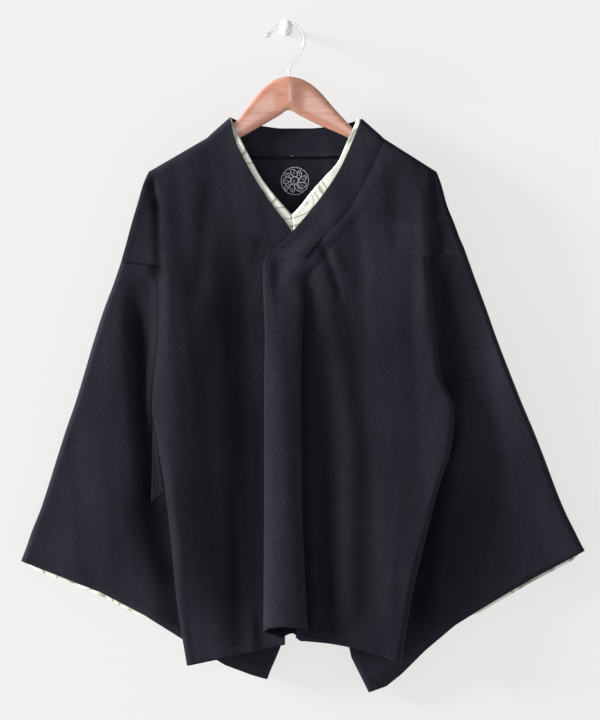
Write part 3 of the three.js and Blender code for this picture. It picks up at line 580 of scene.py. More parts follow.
def object_from(name, points, faces, material):
    """A smooth-shaded mesh object that rides on the body. points are in millimetres."""
    mesh = bpy.data.meshes.new(name)
    points = np.asarray(points, float) * MM
    mesh.from_pydata(points.tolist(), [], [list(map(int, f)) for f in faces])
    mesh.polygons.foreach_set("use_smooth", [True] * len(mesh.polygons))
    mesh.materials.append(material)
    mesh.update()
    thing = shown(name, mesh)
    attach(thing, "root")
    return thing


def grid_faces(valid):
    """Quads of the cells of a grid whose four corners are all there."""
    rows, columns = valid.shape
    number = np.arange(rows * columns).reshape(rows, columns)
    whole = valid[:-1, :-1] & valid[1:, :-1] & valid[:-1, 1:] & valid[1:, 1:]
    quads = np.stack([number[:-1, :-1], number[1:, :-1], number[1:, 1:], number[:-1, 1:]], -1)
    return quads[whole]


GRIDS = {}  # the middle points of each piece of cloth, for what is sewn on it


def cloth(name, grid, material, thickness=CLOTH, extra=None, rim=0.12, thick_side="wall", fade=None):
    """A closed thin shell round a grid of middle points, with a slightly rounded rim.

    Points that are not a number are absent. extra is how much thicker the cloth is on its thick_side. fade is
    the share of the usual brightness at each point: painted shade, kept in the points' painted_shade
    attribute.
    """
    GRIDS[name] = grid
    valid = ~np.isnan(grid[..., 0])
    quads = grid_faces(valid)
    points = grid.reshape(-1, 3)
    diagonal_a = points[quads[:, 2]] - points[quads[:, 0]]
    diagonal_b = points[quads[:, 3]] - points[quads[:, 1]]
    face_normal = np.cross(diagonal_a, diagonal_b)
    face_normal /= np.maximum(np.linalg.norm(face_normal, axis=1, keepdims=True), 1e-9)
    normal = np.zeros_like(points)
    for corner in range(4):
        np.add.at(normal, quads[:, corner], face_normal)
    normal /= np.maximum(np.linalg.norm(normal, axis=1, keepdims=True), 1e-9)
    if np.nanmean(normal[quads[:, 0], 1]) >= 0:
        quads = quads[:, ::-1]
        normal = -normal
    more = np.zeros(len(points)) if extra is None else extra.reshape(-1)
    half = np.broadcast_to(thickness, grid.shape[:2]).reshape(-1) / 2
    outer = points + normal * (half + more * (thick_side == "viewer"))[:, None]
    inner = points - normal * (half + more * (thick_side == "wall"))[:, None]
    # boundary edges, which have no opposite edge
    edges = np.concatenate([quads[:, [k, (k + 1) % 4]] for k in range(4)])
    forward = {(int(a), int(b)) for a, b in edges}
    boundary = [(a, b) for a, b in forward if (b, a) not in forward]
    outward = np.zeros_like(points)
    for a, b in boundary:
        away = np.cross(points[b] - points[a], normal[a])
        away /= max(np.linalg.norm(away), 1e-9)
        outward[a] += away
        outward[b] += away
    size = np.linalg.norm(outward, axis=1, keepdims=True)
    outward = np.divide(outward, size, out=np.zeros_like(outward), where=size > 1e-9)
    used = np.unique(quads)
    number = np.full(len(points), -1)
    number[used] = np.arange(len(used))
    rim_used = np.array(sorted({a for edge in boundary for a in edge}))
    rim_number = np.full(len(points), -1)
    rim_number[rim_used] = np.arange(len(rim_used)) + 2 * len(used)
    middle = (outer + inner)[rim_used] / 2 + outward[rim_used] * rim
    faces = [number[q] for q in quads]
    faces += [number[q[::-1]] + len(used) for q in quads]
    for a, b in boundary:
        faces.append((number[b], number[a], rim_number[a], rim_number[b]))
        faces.append((rim_number[b], rim_number[a], number[a] + len(used), number[b] + len(used)))
    vertices = np.concatenate([outer[used], inner[used], middle])
    thing = object_from(name, vertices, faces, material)
    # The painted shade at each point, as a share of the colour, kept in an attribute for the crepe.
    painted_shade = np.ones(len(points)) if fade is None else fade.reshape(-1)
    layer = thing.data.attributes.new("painted_shade", "FLOAT", "POINT")
    layer.data.foreach_set("value", np.concatenate([painted_shade[used], painted_shade[used], painted_shade[rim_used]]))
    return thing


FOLD_CELL = 2.5  # the size of a mesh cell where the cloth folds over


def refined(grid, cell=CELL):
    """The grid with more columns, on smooth curves through its own columns."""
    chord = np.maximum(np.linalg.norm(np.diff(grid, axis=1), axis=2), 0.2)[:, :, None]
    slope = np.zeros_like(grid)
    step = np.diff(grid, axis=1) / chord
    before, after = chord[:, :-1], chord[:, 1:]
    slope[:, 1:-1] = (step[:, 1:] * before + step[:, :-1] * after) / (before + after)
    slope[:, 0], slope[:, -1] = step[:, 0], step[:, -1]
    columns = [grid[:, :1]]
    for k in range(chord.shape[1]):
        length = chord[:, k]
        count = max(1, math.ceil(length.mean() / min(cell, FOLD_CELL)))
        for t in np.arange(1, count + 1) / count:
            p, q = grid[:, k], grid[:, k + 1]
            m, n = slope[:, k] * length, slope[:, k + 1] * length
            point = p + t * (m + t * (3 * (q - p) - 2 * m - n + t * (m + n - 2 * (q - p))))
            columns.append(point[:, None])
    return np.concatenate(columns, axis=1)


def stacked(x, y, z):
    return np.stack(np.broadcast_arrays(x, y, z), -1)


def reach_along(line):
    """How far along a line each of its points lies, or along each column of a grid."""
    steps = np.linalg.norm(np.diff(line, axis=0), axis=-1)
    return np.concatenate([np.zeros_like(steps[:1]), np.cumsum(steps, axis=0)])


def round_angles(count):
    return np.linspace(0, 2 * math.pi, count, endpoint=False)


def hem_extra(z, hem_z):
    """The hem's extra thickness at the height z over its edge at hem_z."""
    return HEM_THICK * smooth((HEM_TURN + 1 - (z - hem_z)) / 1.5)


# ---- materials ----
class Finish:
    """A material in the making: its node tree, its shader and the object's own coordinates."""

    def __init__(self, name):
        self.material = bpy.data.materials.new(name)
        self.material.use_nodes = True
        self.tree = self.material.node_tree
        self.shader = self.tree.nodes["Principled BSDF"]
        self.place = self.add("TexCoord").outputs["Object"]

    def put(self, node, key, value):
        """Links an input to another node's output, or gives it a value of its own."""
        if isinstance(value, bpy.types.NodeSocket):
            self.tree.links.new(value, node.inputs[key])
        else:
            node.inputs[key].default_value = value

    def add(self, kind, **settings):
        node = self.tree.nodes.new("ShaderNode" + kind)
        for key, value in settings.items():
            if key in node.inputs:
                self.put(node, key, value)
            else:
                setattr(node, key, value)
        return node

    def noise(self, scale, detail, vector=None, **more):
        node = self.add("TexNoise", Vector=vector or self.place, Scale=scale, Detail=detail, **more)
        return node.outputs["Fac"]

    def maths(self, operation, *values):
        node = self.add("Math", operation=operation)
        for number, value in enumerate(values):
            self.put(node, number, value)
        return node.outputs["Value"]

    def mixed(self, blend, factor, a, b):
        node = self.add("Mix", data_type="RGBA", blend_type=blend, Factor=factor, A=a, B=b)
        return node.outputs["Result"]

    def ranged(self, value, low, high):
        """A value from 0 to 1 stretched to reach from low to high."""
        node = self.add("MapRange", Value=value)
        self.put(node, "To Min", low)
        self.put(node, "To Max", high)
        return node

    def ramp(self, level, *stops):
        """The colour at a level, from (place, colour) stops."""
        node = self.add("ValToRGB", Fac=level)
        elements = node.color_ramp.elements
        while len(elements) < len(stops):
            elements.new(0.5)
        for element, (place, colour) in zip(elements, stops):
            element.position = place
            element.color = (*colour, 1)
        return node.outputs["Color"]

    def finished(self, inputs, *bumps):
        """The material with its inputs and bumps: for each a height, a depth in metres and a strength."""
        for key, value in inputs.items():
            self.put(self.shader, key, value)
        previous = {}
        for height, depth, strength in bumps:
            bump = self.add("Bump", Strength=strength, Distance=depth, Height=height, **previous)
            previous = {"Normal": bump.outputs["Normal"]}
        self.put(self.shader, "Normal", previous["Normal"])
        return self.material


def crepe_material():
    """Near-black navy crepe: pebbled surface, faint cloudy colour, a few specks of lint and the painted shade
    kept on its points.
    """
    new = Finish("navy_crepe")
    cloud = new.noise(9.0, 3.0, Roughness=0.6)
    pebble = new.noise(1500.0, 2.0, Roughness=0.6)
    slub = new.noise(420.0, 2.0, Roughness=0.5)
    lint = new.add("TexVoronoi", Vector=new.place, Scale=55.0, Randomness=1.0)
    base = new.ramp(cloud, (0.3, (0.0166, 0.0172, 0.0250)), (0.7, (0.0216, 0.0219, 0.0308)))
    grain = new.ramp(slub, (0.3, (0.80, 0.80, 0.82)), (0.7, (1.2, 1.2, 1.18)))
    speck = new.ramp(lint.outputs["Distance"], (0.0, (1, 1, 1)), (0.022, (1, 1, 1)), (0.034, (0, 0, 0)))
    rare = new.ramp(lint.outputs["Color"], (0.80, (0, 0, 0)), (0.84, (1, 1, 1)))
    dust = new.maths("MULTIPLY", speck, rare)
    woven = new.mixed("MULTIPLY", 1.0, base, grain)
    dusty = new.mixed("MIX", dust, woven, (0.10, 0.10, 0.12, 1))
    # Painted shade from the points' attribute darkens the colour.
    painted_shade = new.add("Attribute", attribute_name="painted_shade").outputs["Fac"]
    return new.finished({
        "Base Color": new.mixed("MULTIPLY", 1.0, dusty, painted_shade),
        "Roughness": 0.95,
        "Specular IOR Level": 0.06,
        "Sheen Weight": 0.02,
        "Sheen Roughness": 0.5,
        "Sheen Tint": (0.72, 0.75, 1.0, 1),
    }, (slub, 0.0005, 0.5), (pebble, 0.00025, 0.6))


def ivory_material():
    """Smooth ivory cloth with flowing grey-green marbled lines."""
    new = Finish("marbled_ivory")
    flow = new.noise(14.0, 1.5, Roughness=0.45, Distortion=0.6)
    weave = new.noise(1700.0, 2.0)
    wave = new.maths("PINGPONG", new.maths("MULTIPLY", flow, 17.0), 1.0)
    lines = new.ramp(
        wave,
        (0.0, (0.30, 0.33, 0.27)),
        (0.14, (0.46, 0.49, 0.40)),
        (0.30, (0.80, 0.79, 0.70)),
        (1.0, (0.86, 0.84, 0.76)),
    )
    inputs = {"Base Color": lines, "Roughness": 0.6, "Specular IOR Level": 0.35, "Sheen Weight": 0.08}
    return new.finished(inputs, (weave, 0.0002, 0.5))


def wood_material():
    """Reddish brown wood, its grain along the arms, under a thick varnish."""
    new = Finish("varnished_wood")
    stretched = new.add("Mapping", Vector=new.place, Scale=(9.0, 120.0, 120.0)).outputs["Vector"]
    grain = new.noise(1.6, 6.0, stretched, Roughness=0.62, Distortion=0.5)
    pores = new.noise(7.0, 3.0, stretched, Roughness=0.7)
    tone = new.ramp(
        grain,
        (0.30, (0.34, 0.120, 0.066)),
        (0.47, (0.46, 0.190, 0.118)),
        (0.62, (0.50, 0.225, 0.148)),
        (0.80, (0.42, 0.165, 0.098)),
    )
    inputs = {"Base Color": tone, "Roughness": 0.42, "Coat Weight": 1.0, "Coat Roughness": 0.19}
    return new.finished(inputs, (pores, 0.0002, 0.12))


def chrome_material():
    """Bright plated wire with a faint drawn grain."""
    new = Finish("chrome_wire")
    grain = new.noise(300.0, 3.0)
    gloss = new.ranged(grain, 0.08, 0.22).outputs["Result"]
    inputs = {"Base Color": (0.74, 0.74, 0.76, 1), "Metallic": 1.0, "Roughness": gloss}
    return new.finished(inputs, (grain, 0.0001, 0.15))


def paint(name, colour, roughness, grain_scale, depth):
    """Plain paint or plaster with a fine uneven surface and a faint change of tone."""
    new = Finish(name)
    darker = tuple(0.975 * c for c in colour)
    tone = new.ramp(new.noise(3.0, 2.0), (0.3, darker), (0.7, colour))
    new.finished({"Base Color": tone, "Roughness": roughness}, (new.noise(grain_scale, 4.0), depth, 0.4))
    return new


def thread_material(name, colour):
    """Twisted sewing thread."""
    new = Finish(name)
    twist = new.noise(2600.0, 2.0)
    tone = new.ramp(twist, (0.3, tuple(0.75 * c for c in colour)), (0.7, colour))
    return new.finished({"Base Color": tone, "Roughness": 0.55}, (twist, 0.0001, 0.5))


CREPE = crepe_material()
IVORY = ivory_material()
WOOD = wood_material()
CHROME = chrome_material()
WHITE_PAINT = paint("white_paint", (0.90, 0.90, 0.89), 0.32, 240.0, 0.0001).material
NAVY_THREAD = thread_material("navy_thread", (0.012, 0.0125, 0.018))
WHITE_THREAD = thread_material("white_thread", (0.72, 0.74, 0.80))


# ---- camera, wall, floor and light ----
VIEW_PIXELS = (600, 720)
MM_PER_PIXEL = 1.357
PEG_PIXEL = (286, 27)  # where the origin is in the view
CAMERA_AWAY = 4500.0
SENSOR = 36.0


def camera():
    data = bpy.data.cameras.new("camera")
    data.sensor_width = SENSOR
    data.lens = SENSOR * CAMERA_AWAY / (VIEW_PIXELS[1] * MM_PER_PIXEL)
    data.clip_end = 30
    thing = shown("camera", data)
    x = (VIEW_PIXELS[0] / 2 - PEG_PIXEL[0]) * MM_PER_PIXEL
    z = (PEG_PIXEL[1] - VIEW_PIXELS[1] / 2) * MM_PER_PIXEL
    thing.location = Vector((x, MID_Y - CAMERA_AWAY, z)) * MM
    thing.rotation_euler = (math.radians(90), 0, 0)
    bpy.context.scene.camera = thing


# The wall's and floor's glow, which keeps them evenly bright, with painted light rising from the lower right
# to the upper left, over a reach in metres.
GLOW_LOW = 0.70
GLOW_HIGH = 0.735
GLOW_FROM = -0.95
GLOW_TO = 0.3


def backdrop_material(name):
    """Pale paint that glows a little, so that it stays even, brighter towards the upper left as painted
    light, and that shows on its front alone.
    """
    new = paint(name, (0.12, 0.12, 0.122), 0.85, 160.0, 0.0004)
    place = new.add("NewGeometry")
    toward = new.add("VectorMath", operation="DOT_PRODUCT")
    new.put(toward, 0, place.outputs["Position"])
    new.put(toward, 1, (-0.8, 0, 0.6))
    # Painted light: the glow rises towards the upper left.
    level = new.ranged(toward.outputs["Value"], GLOW_LOW, GLOW_HIGH)
    new.put(level, "From Min", GLOW_FROM)
    new.put(level, "From Max", GLOW_TO)
    new.put(new.shader, "Emission Strength", level.outputs["Result"])
    new.put(new.shader, "Emission Color", (1.0, 0.995, 0.985, 1))
    either = new.add("MixShader", Fac=place.outputs["Backfacing"])
    new.put(either, 1, new.shader.outputs["BSDF"])
    new.put(either, 2, new.add("BsdfTransparent").outputs["BSDF"])
    new.put(new.tree.nodes["Material Output"], "Surface", either.outputs["Shader"])
    return new.material


# The backdrop, in metres.
FLOOR_Z = -1.45
WALL_TOP = 3.0
WALL_Y = 0.0006
HALF_WIDE = 4.0
FLOOR_DEEP = 4.5


def backdrop():
    """The pale wall behind the peg and a pale floor far below."""
    left, right = (-HALF_WIDE, WALL_Y, FLOOR_Z), (HALF_WIDE, WALL_Y, FLOOR_Z)
    sheets = {
        "wall": [left, right, (HALF_WIDE, WALL_Y, WALL_TOP), (-HALF_WIDE, WALL_Y, WALL_TOP)],
        "floor": [(-HALF_WIDE, -FLOOR_DEEP, FLOOR_Z), (HALF_WIDE, -FLOOR_DEEP, FLOOR_Z), right, left],
    }
    for name, corners in sheets.items():
        mesh = bpy.data.meshes.new(name)
        mesh.from_pydata(corners, [], [(0, 1, 2, 3)])
        mesh.materials.append(backdrop_material(name + "_paint"))
        shown(name, mesh)


KEY = {"aside": 77.0, "up": 15.0, "soft": 15.0, "power": 8.2}  # degrees from straight in front, and its size
ROOM_LIGHT = 0.25
ROOM_GLOSS = 0.85  # how bright the room is in varnish and chrome


def light(name, kind, place, aim, power):
    data = bpy.data.lights.new(name, kind)
    data.energy = power
    thing = shown(name, data)
    thing.location = place
    thing.rotation_euler = (Vector(aim) - Vector(place)).to_track_quat("-Z", "Y").to_euler()
    return data


def lights():
    """A soft key that grazes the cloth from the left, a weak light from behind and an even room."""
    aside, up = math.radians(KEY["aside"]), math.radians(KEY["up"])
    from_key = (-math.sin(aside) * math.cos(up), -math.cos(aside) * math.cos(up), math.sin(up))
    key = light("key", "SUN", tuple(3 * c for c in from_key), (0, 0, 0), KEY["power"])
    key.color = (1.0, 0.99, 0.98)
    key.angle = math.radians(KEY["soft"])
    light("front_box", "AREA", (0.0, -3.0, 0.1), (0, 0, -0.1), 5).size = 0.5
    light("behind", "AREA", (0.6, 1.6, 0.4), (0, 0, -0.5), 16).size = 1.6
    world = bpy.data.worlds.new("room")
    world.use_nodes = True
    tree = world.node_tree
    sky = tree.nodes["Background"]
    sky.inputs["Color"].default_value = (0.95, 0.97, 1.0, 1)
    rays = tree.nodes.new("ShaderNodeLightPath")
    level = tree.nodes.new("ShaderNodeMapRange")
    level.inputs["To Min"].default_value = ROOM_LIGHT
    level.inputs["To Max"].default_value = ROOM_GLOSS
    tree.links.new(rays.outputs["Is Glossy Ray"], level.inputs["Value"])
    tree.links.new(level.outputs["Result"], sky.inputs["Strength"])
    bpy.context.scene.world = world
    bpy.context.scene.view_settings.view_transform = "Standard"


# ---- the body's panels ----
def row_point(rows, v, u):
    """x and z at the share u of the row number v, with the distance in from the row's outer end."""
    in_x, in_z = column_at(rows, "in_x", v), column_at(rows, "in_z", v)
    out_x, out_z = column_at(rows, "out_x", v), column_at(rows, "out_z", v)
    return mix(in_x, out_x, u), mix(in_z, out_z, u), (1 - u) * np.hypot(out_x - in_x, out_z - in_z)


EDGE_PAINTED_SHADE = 0.8  # painted shade: how much darker the cloth is painted along the left edge of the body, where the key light catches its turn, as a natural logarithm
CREASE_PAINTED_SHADE = 0.35  # painted shade along the pleat's crease, which the key light catches
INSIDE_PAINTED_SHADE = 1.3  # painted shade inside the pleat's roll, where shade falls
SEAM_DIP = 0.45  # how far a panel sinks along a seam
SEAM_WIDE = 5.0  # and over what distance
LEFT_BAND_DIP = 0.2  # share of that dip beside the left band
ARMHOLE_DIP = 0.4  # and beside the armholes


def seam_dip(distance, along):
    """How far the cloth sinks beside a seam, with the small uneven puckers that the stitching pulls in."""
    pucker = 0.06 * np.sin(along / 2.6) + 0.05 * np.sin(along / 4.3 + 1.3)
    return (SEAM_DIP + pucker) * bell(distance, SEAM_WIDE)


def armhole_ease(v, corner):
    """1 in the rows that end at an armhole seam and 0 elsewhere."""
    return smooth((v - corner + 2) / 0.3) * smooth((corner + 0.15 - v) / 0.15)


def beside_band(v):
    """1 in the rows that begin at a collar band."""
    return smooth(LAP_ROW + 0.5 - v)


def beside_armhole(v):
    """1 in the rows that end at a sleeve."""
    return smooth((v - 5.2) / 0.5) * smooth(13 - v)


def front_left():
    v = row_steps(LEFT_ROWS, ("out_x", "out_z"))[:, None]
    u = spread(150)[None, :]
    x, z, side = row_point(LEFT_ROWS, v, u)
    width = side[:, :1]
    under = smooth((x + 45) / 10) * below(z, -282, 16)
    ease = armhole_ease(v, LAP_ROW)
    y = front_y(x, z, side, column_at(LEFT_ROWS, "front", v), -UNDERLAP * under, ease)
    steady = MID_Y - front_fill(z) + UNDERLAP + sink(z)
    y = mix(y, steady, under)
    y = y + LEFT_BAND_DIP * seam_dip(u * width, z) * beside_band(v) * turn(below_ridge(x, z))
    y = y + ARMHOLE_DIP * seam_dip(side, z) * beside_armhole(v)
    x = x - SEAM_GAP * (u == 0) * np.where(v < LAP_ROW, FAINT, 1)
    hem_z = row_point(LEFT_ROWS, v[-1:], u)[1]
    # Painted shade: darker in the hollows and along the left edge where the light catches it.
    fade = np.exp(folds_at(FRONT_PAINTED_SHADE, x, z) - EDGE_PAINTED_SHADE * bell(side, 9))
    return cloth("left_front", stacked(x, y, z), CREPE, extra=hem_extra(z, hem_z), fade=fade)


def pleat_grid(v, z):
    """The pleat's section at each row of v, whose collar end or middle lies at the height z."""
    line = {
        "neck_left": np.full_like(z, NECK_LEFT),
        "crease": look_up(PLEAT_LINES, "z", "crease", z),
        "middle": column_at(RIGHT_ROWS, "in_x", v),
        "roll": look_up(PLEAT_LINES, "z", "roll", z),
        "neck_right": np.full_like(z, NECK_RIGHT),
    }
    stand = look_up(PLEAT_LINES, "z", "stand", z)
    lower = below(z, LAP_TOP, LAP_TOP - HEM_BASE)
    columns = []
    for k, (name, dx, share, base, lift) in enumerate(PLEAT_SECTION):
        left = k < MIDDLE
        rise = below(z, LAP_TOP + 2, PLEAT_RISE) if left else 1.0
        x = line[name] + dx
        y = MID_Y - front_fill(z) - base - share * stand * rise + PLEAT_FLUSH * (1 - rise)
        y = y + sink(z) * (1 - min(1, 1.6 * share)) * left
        y = y - drape(x, z, 1.9) * (0.35 + 0.5 * share) - share * folds_at(PLEAT_FOLDS, x, z)
        columns.append(np.stack([x, y, z + lift * lower], -1))
    return np.stack(columns, 1)


def front_right():
    v = row_steps(RIGHT_ROWS, ("out_x", "out_z"))
    seam_x, seam_z, length = (a.reshape(-1) for a in row_point(RIGHT_ROWS, v[:, None], 0))
    out_x, out_z, _ = (a.reshape(-1) for a in row_point(RIGHT_ROWS, v[:, None], 1))
    edge = column_at(RIGHT_ROWS, "front", v)
    ease = armhole_ease(v, LAP_ROW)
    folded = smooth((v - LAP_ROW - 1) / 2)
    stand = np.where(v < LAP_ROW, overlap_lift(seam_z), look_up(PLEAT_LINES, "z", "stand", seam_z))

    def flat_point(distance, share):
        u = distance / length
        x, z = mix(seam_x, out_x, u), mix(seam_z, out_z, u)
        return np.stack([x, front_y(x, z, length - distance, edge, share * stand, ease), z], -1)

    section = pleat_grid(v, seam_z)
    points = []
    for k in range(len(PLEAT_SECTION)):
        if k < MIDDLE:
            points.append(section[:, k])
        else:
            flat = flat_point(FLAT_STEPS[k - MIDDLE], FLAT_SHARE[k - MIDDLE])
            points.append(mix(flat, section[:, k], folded[:, None]))
    start = points[-1]
    first, last_share = FLAT_STEPS[-1], FLAT_SHARE[-1]
    for u in spread(180)[1:]:
        flat = flat_point(mix(first, length, u), last_share * (1 - smooth(u / 0.3)))
        y = mix(flat[:, 1], start[:, 1], (1 - smooth(u / 0.25)) * folded)
        points.append(np.stack([mix(start[:, 0], out_x, u), y, mix(start[:, 2], out_z, u)], -1))
    coarse = np.stack(points, 1)
    above = v < LAP_ROW
    folds = refined(coarse[:, MIDDLE:len(PLEAT_SECTION)])
    whole = refined(coarse[:, :len(PLEAT_SECTION)])
    tucked, right_part = whole[:, :-folds.shape[1]], whole[:, -folds.shape[1]:]
    folds = np.where(above[:, None, None], folds, right_part)
    beyond = coarse[:, len(PLEAT_SECTION):]
    tucked[above] = np.nan
    grid = np.concatenate([tucked, folds, beyond], 1)
    rise = np.sin(math.pi * np.clip((grid[..., 0] - 18) / 138, 0, 1)) ** 0.8
    grid[..., 2] += HEM_RISE * rise * below(grid[..., 2], -560, 270)
    grid[above, tucked.shape[1], 0] += SEAM_GAP
    distance = np.hypot(grid[..., 0] - seam_x[:, None], grid[..., 2] - seam_z[:, None])
    at_band = beside_band(v)[:, None] * turn(below_ridge(grid[..., 0], grid[..., 2]))
    grid[..., 1] += seam_dip(distance, grid[..., 2]) * at_band
    side = length[:, None] - distance
    grid[..., 1] += ARMHOLE_DIP * seam_dip(side, grid[..., 2]) * beside_armhole(v)[:, None]
    extra = hem_extra(grid[..., 2], grid[-1:, :, 2])
    thin = np.ones(grid.shape[:2])
    left_part = slice(0, tucked.shape[1])
    thin[:, left_part] = mix(PLEAT_THIN, 1, below(grid[:, left_part, 2], LAP_TOP, 26))
    thin = np.nan_to_num(thin, nan=1.0)
    face = slice(0, tucked.shape[1] + folds.shape[1] - 8)
    # Painted shade: darker in the hollows, along the lit crease and inside the pleat's roll.
    fade = folds_at(FRONT_PAINTED_SHADE, np.nan_to_num(grid[..., 0]), np.nan_to_num(grid[..., 2]))
    crease = look_up(PLEAT_LINES, "z", "crease", seam_z)[:, None]
    fade[:, face] = -CREASE_PAINTED_SHADE * bell(grid[:, face, 0] - crease, 5)
    inner = int(np.argmin(tucked[-1, :, 0])) - 2
    fade[:, :inner] = -INSIDE_PAINTED_SHADE
    fade = np.nan_to_num(fade)
    return cloth("right_front", grid, CREPE, CLOTH * thin, np.nan_to_num(extra), fade=np.exp(fade))


SHOULDER_LEFT, SHOULDER_RIGHT = RIDGE["x"][[0, -1]]
SHOULDER_Z = RIDGE["z"][0]
BACK_TOP = table("x z", [
    (SHOULDER_LEFT, SHOULDER_Z),
    *[(x, z - 2 * SEAM_GAP) for x, z in zip(COLLAR_BACK["low_x"], COLLAR_BACK["low_z"])],
    (SHOULDER_RIGHT, SHOULDER_Z),
])
BACK_HEM_BOW = 44.0
NECK_PAINTED_SHADOW = 1.6  # painted shadow: how much darker the back is painted under the neck seam, where the back collar's edge shades it, as a natural logarithm


def back():
    v = row_steps(LEFT_ROWS, ("out_x", "out_z"))[:, None]
    right_v = v + np.clip(v - ABREAST, 0, 1)
    left_x, left_z = column_at(LEFT_ROWS, "out_x", v), column_at(LEFT_ROWS, "out_z", v)
    right_x, right_z = column_at(RIGHT_ROWS, "out_x", right_v), column_at(RIGHT_ROWS, "out_z", right_v)
    share = spread(380)[None, :]
    top_x = mix(SHOULDER_LEFT, SHOULDER_RIGHT, share)
    top_z = np.interp(top_x, BACK_TOP["x"], BACK_TOP["z"])
    fade = np.maximum(0, 1 - v / 9) ** 1.5
    low = smooth((v - 9) / (len(LEFT_ROWS["in_x"]) - 10))
    x = mix(left_x, right_x, share)
    rise = top_z - SHOULDER_Z
    bow = BACK_HEM_BOW * np.sin(math.pi * np.clip(share, 0, 1)) ** 0.7 * low
    z = mix(left_z, right_z, share) + rise * fade + bow
    width = right_x - left_x
    edge = np.where(share < 0.5, column_at(LEFT_ROWS, "back", v), column_at(RIGHT_ROWS, "back", right_v))
    y = back_y(x, z, np.minimum(share, 1 - share) * width, edge)
    under_collar = (share > 0.2) & (share < 0.82)
    y = y - seam_dip(top_z - z, x) * under_collar * (v < 3) * 0.8
    extra = hem_extra(z, z[-1:])
    # Painted shadow under the back collar's lower edge.
    shade = np.exp(-NECK_PAINTED_SHADOW * bell(top_z - z - 2.2, 2.2) * (v < 3))
    return cloth("back_panel", stacked(x, y, z), CREPE, extra=extra, thick_side="viewer", fade=shade)


# ---- sleeves ----
def sleeve_point(rows, cuff, layer, v, u, folds):
    """Points of one layer of a sleeve at the row number v and the share u out from its inner end."""
    in_x, in_z, out_x, out_z = (column_at(rows, key, v) for key in ("in_x", "in_z", "out_x", "out_z"))
    width = np.hypot(out_x - in_x, out_z - in_z)
    closed = smooth((v - 6) / 2)
    opening = mix(smooth((u * width) / 14), turn(u * width), closed)
    trough = SLEEVE_FOLD["deep"] * bell(u - SLEEVE_FOLD["at"], SLEEVE_FOLD["wide"]) * smooth((v - 1) / 3)
    edge_y = column_at(SLEEVE_DEPTHS, "out_y", v)
    x, flat_z = mix(in_x, out_x, u), mix(in_z, out_z, u)
    soft = (folds_at(folds, x, flat_z) + 0.8 * drape(x, flat_z, 2.6)) * smooth(v)
    if layer == "front":
        in_y = column_at(SLEEVE_DEPTHS, "front_in", v)
        level = column_at(SLEEVE_DEPTHS, "front_y", v) + trough - soft
        edge_y = edge_y - SLEEVE_HALF_EDGE
        peeping = 0
    else:
        in_y = column_at(SLEEVE_DEPTHS, "back_in", v)
        level = column_at(SLEEVE_DEPTHS, "back_y", v) + soft
        edge_y = edge_y + SLEEVE_HALF_EDGE
        peeping = smooth((u - FACING["from"]) / 0.1) * smooth((0.99 - u) / 0.05)
    y = mix(edge_y, mix(in_y, level, opening), turn((1 - u) * width))
    up = np.interp(u, cuff["u"], cuff["up"])
    drop = FACING["peep"] * peeping * smooth(v - 11)
    z = flat_z + up * smooth((v - 8) / 4) - drop
    return stacked(x, y, z)


TUCK = 4.0  # the seam allowance of a sleeve that goes on inside the body
TUCK_STEP = 1.3  # how far it lies inside the body's cloth
SLEEVE_HEAD_DIP = 0.15  # share of a seam's dip at a sleeve's head


def tucked_in(grid, v, inward, step):
    """The sleeve layer with its seam allowance along its head and down its inner end to the underarm."""
    fade = smooth((5.6 - v) / 0.9)
    sides, heads = [], []
    for share in (1.0, 0.4):
        shift = np.concatenate([inward * (0.2 + TUCK * share * fade), step * share * fade, 0 * v], 1)
        sides.append(grid[:, :1] + shift[:, None])
    grid = np.concatenate([*sides, grid], 1)
    up = smooth(np.linalg.norm(grid[0] - grid[0, -1], axis=1) / 14)
    for share in (1.0, 0.4):
        shift = np.stack([0 * up, step * share * up, 0.1 + TUCK * share * up], 1)
        heads.append(grid[:1] + shift[None])
    return np.concatenate([*heads, grid], 0)


def sleeve_layer(name, rows, cuff, layer):
    folds = SLEEVE_FRONT_FOLDS if layer == "front" else SLEEVE_BACK_FOLDS
    inward = 1 if rows is SLEEVE_LEFT else -1
    sign = 1 if layer == "front" else -1
    v = row_steps(rows, ("out_x", "out_z"))[:, None]
    grid = sleeve_point(rows, cuff, layer, v, spread(300)[None, :], folds)
    along = grid[..., 0] * 0.7 + grid[..., 2]
    from_seam = np.linalg.norm(grid - grid[:1], axis=2)
    grid[..., 1] += sign * SLEEVE_HEAD_DIP * seam_dip(from_seam, along) * smooth(from_seam / 0.5)
    grid = tucked_in(grid, v, inward, TUCK_STEP * sign)
    # Painted shade on the sleeve fronts, darker beside the body where shade falls.
    fade = np.exp(folds_at(SLEEVE_PAINTED_SHADE, grid[..., 0], grid[..., 2])) if layer == "front" else None
    return cloth(name, grid, CREPE, rim=0.1, fade=fade)


def sleeve_facing(name, rows, cuff):
    """The ivory strip inside the sleeve's back layer, up from its edge."""
    last = len(rows["in_x"]) - 1.0
    u = np.linspace(FACING["from"], FACING["to"], 60)[None, :]
    low = sleeve_point(rows, cuff, "back", np.array([[last]]), u, SLEEVE_BACK_FOLDS)
    high = sleeve_point(rows, cuff, "back", np.array([[last - 1]]), u, SLEEVE_BACK_FOLDS)
    up = high - low
    up[..., 1] = 0
    up /= np.linalg.norm(up, axis=2, keepdims=True)
    step = np.linspace(0, 1, 9)[:, None, None]
    grid = low + up * FACING["high"] * step
    grid[..., 1] = low[..., 1] - TRIM_BEHIND + 0.4 * np.sin(grid[..., 0] / 9) * step[..., 0]
    return cloth(name, grid, IVORY, TRIM_CLOTH)


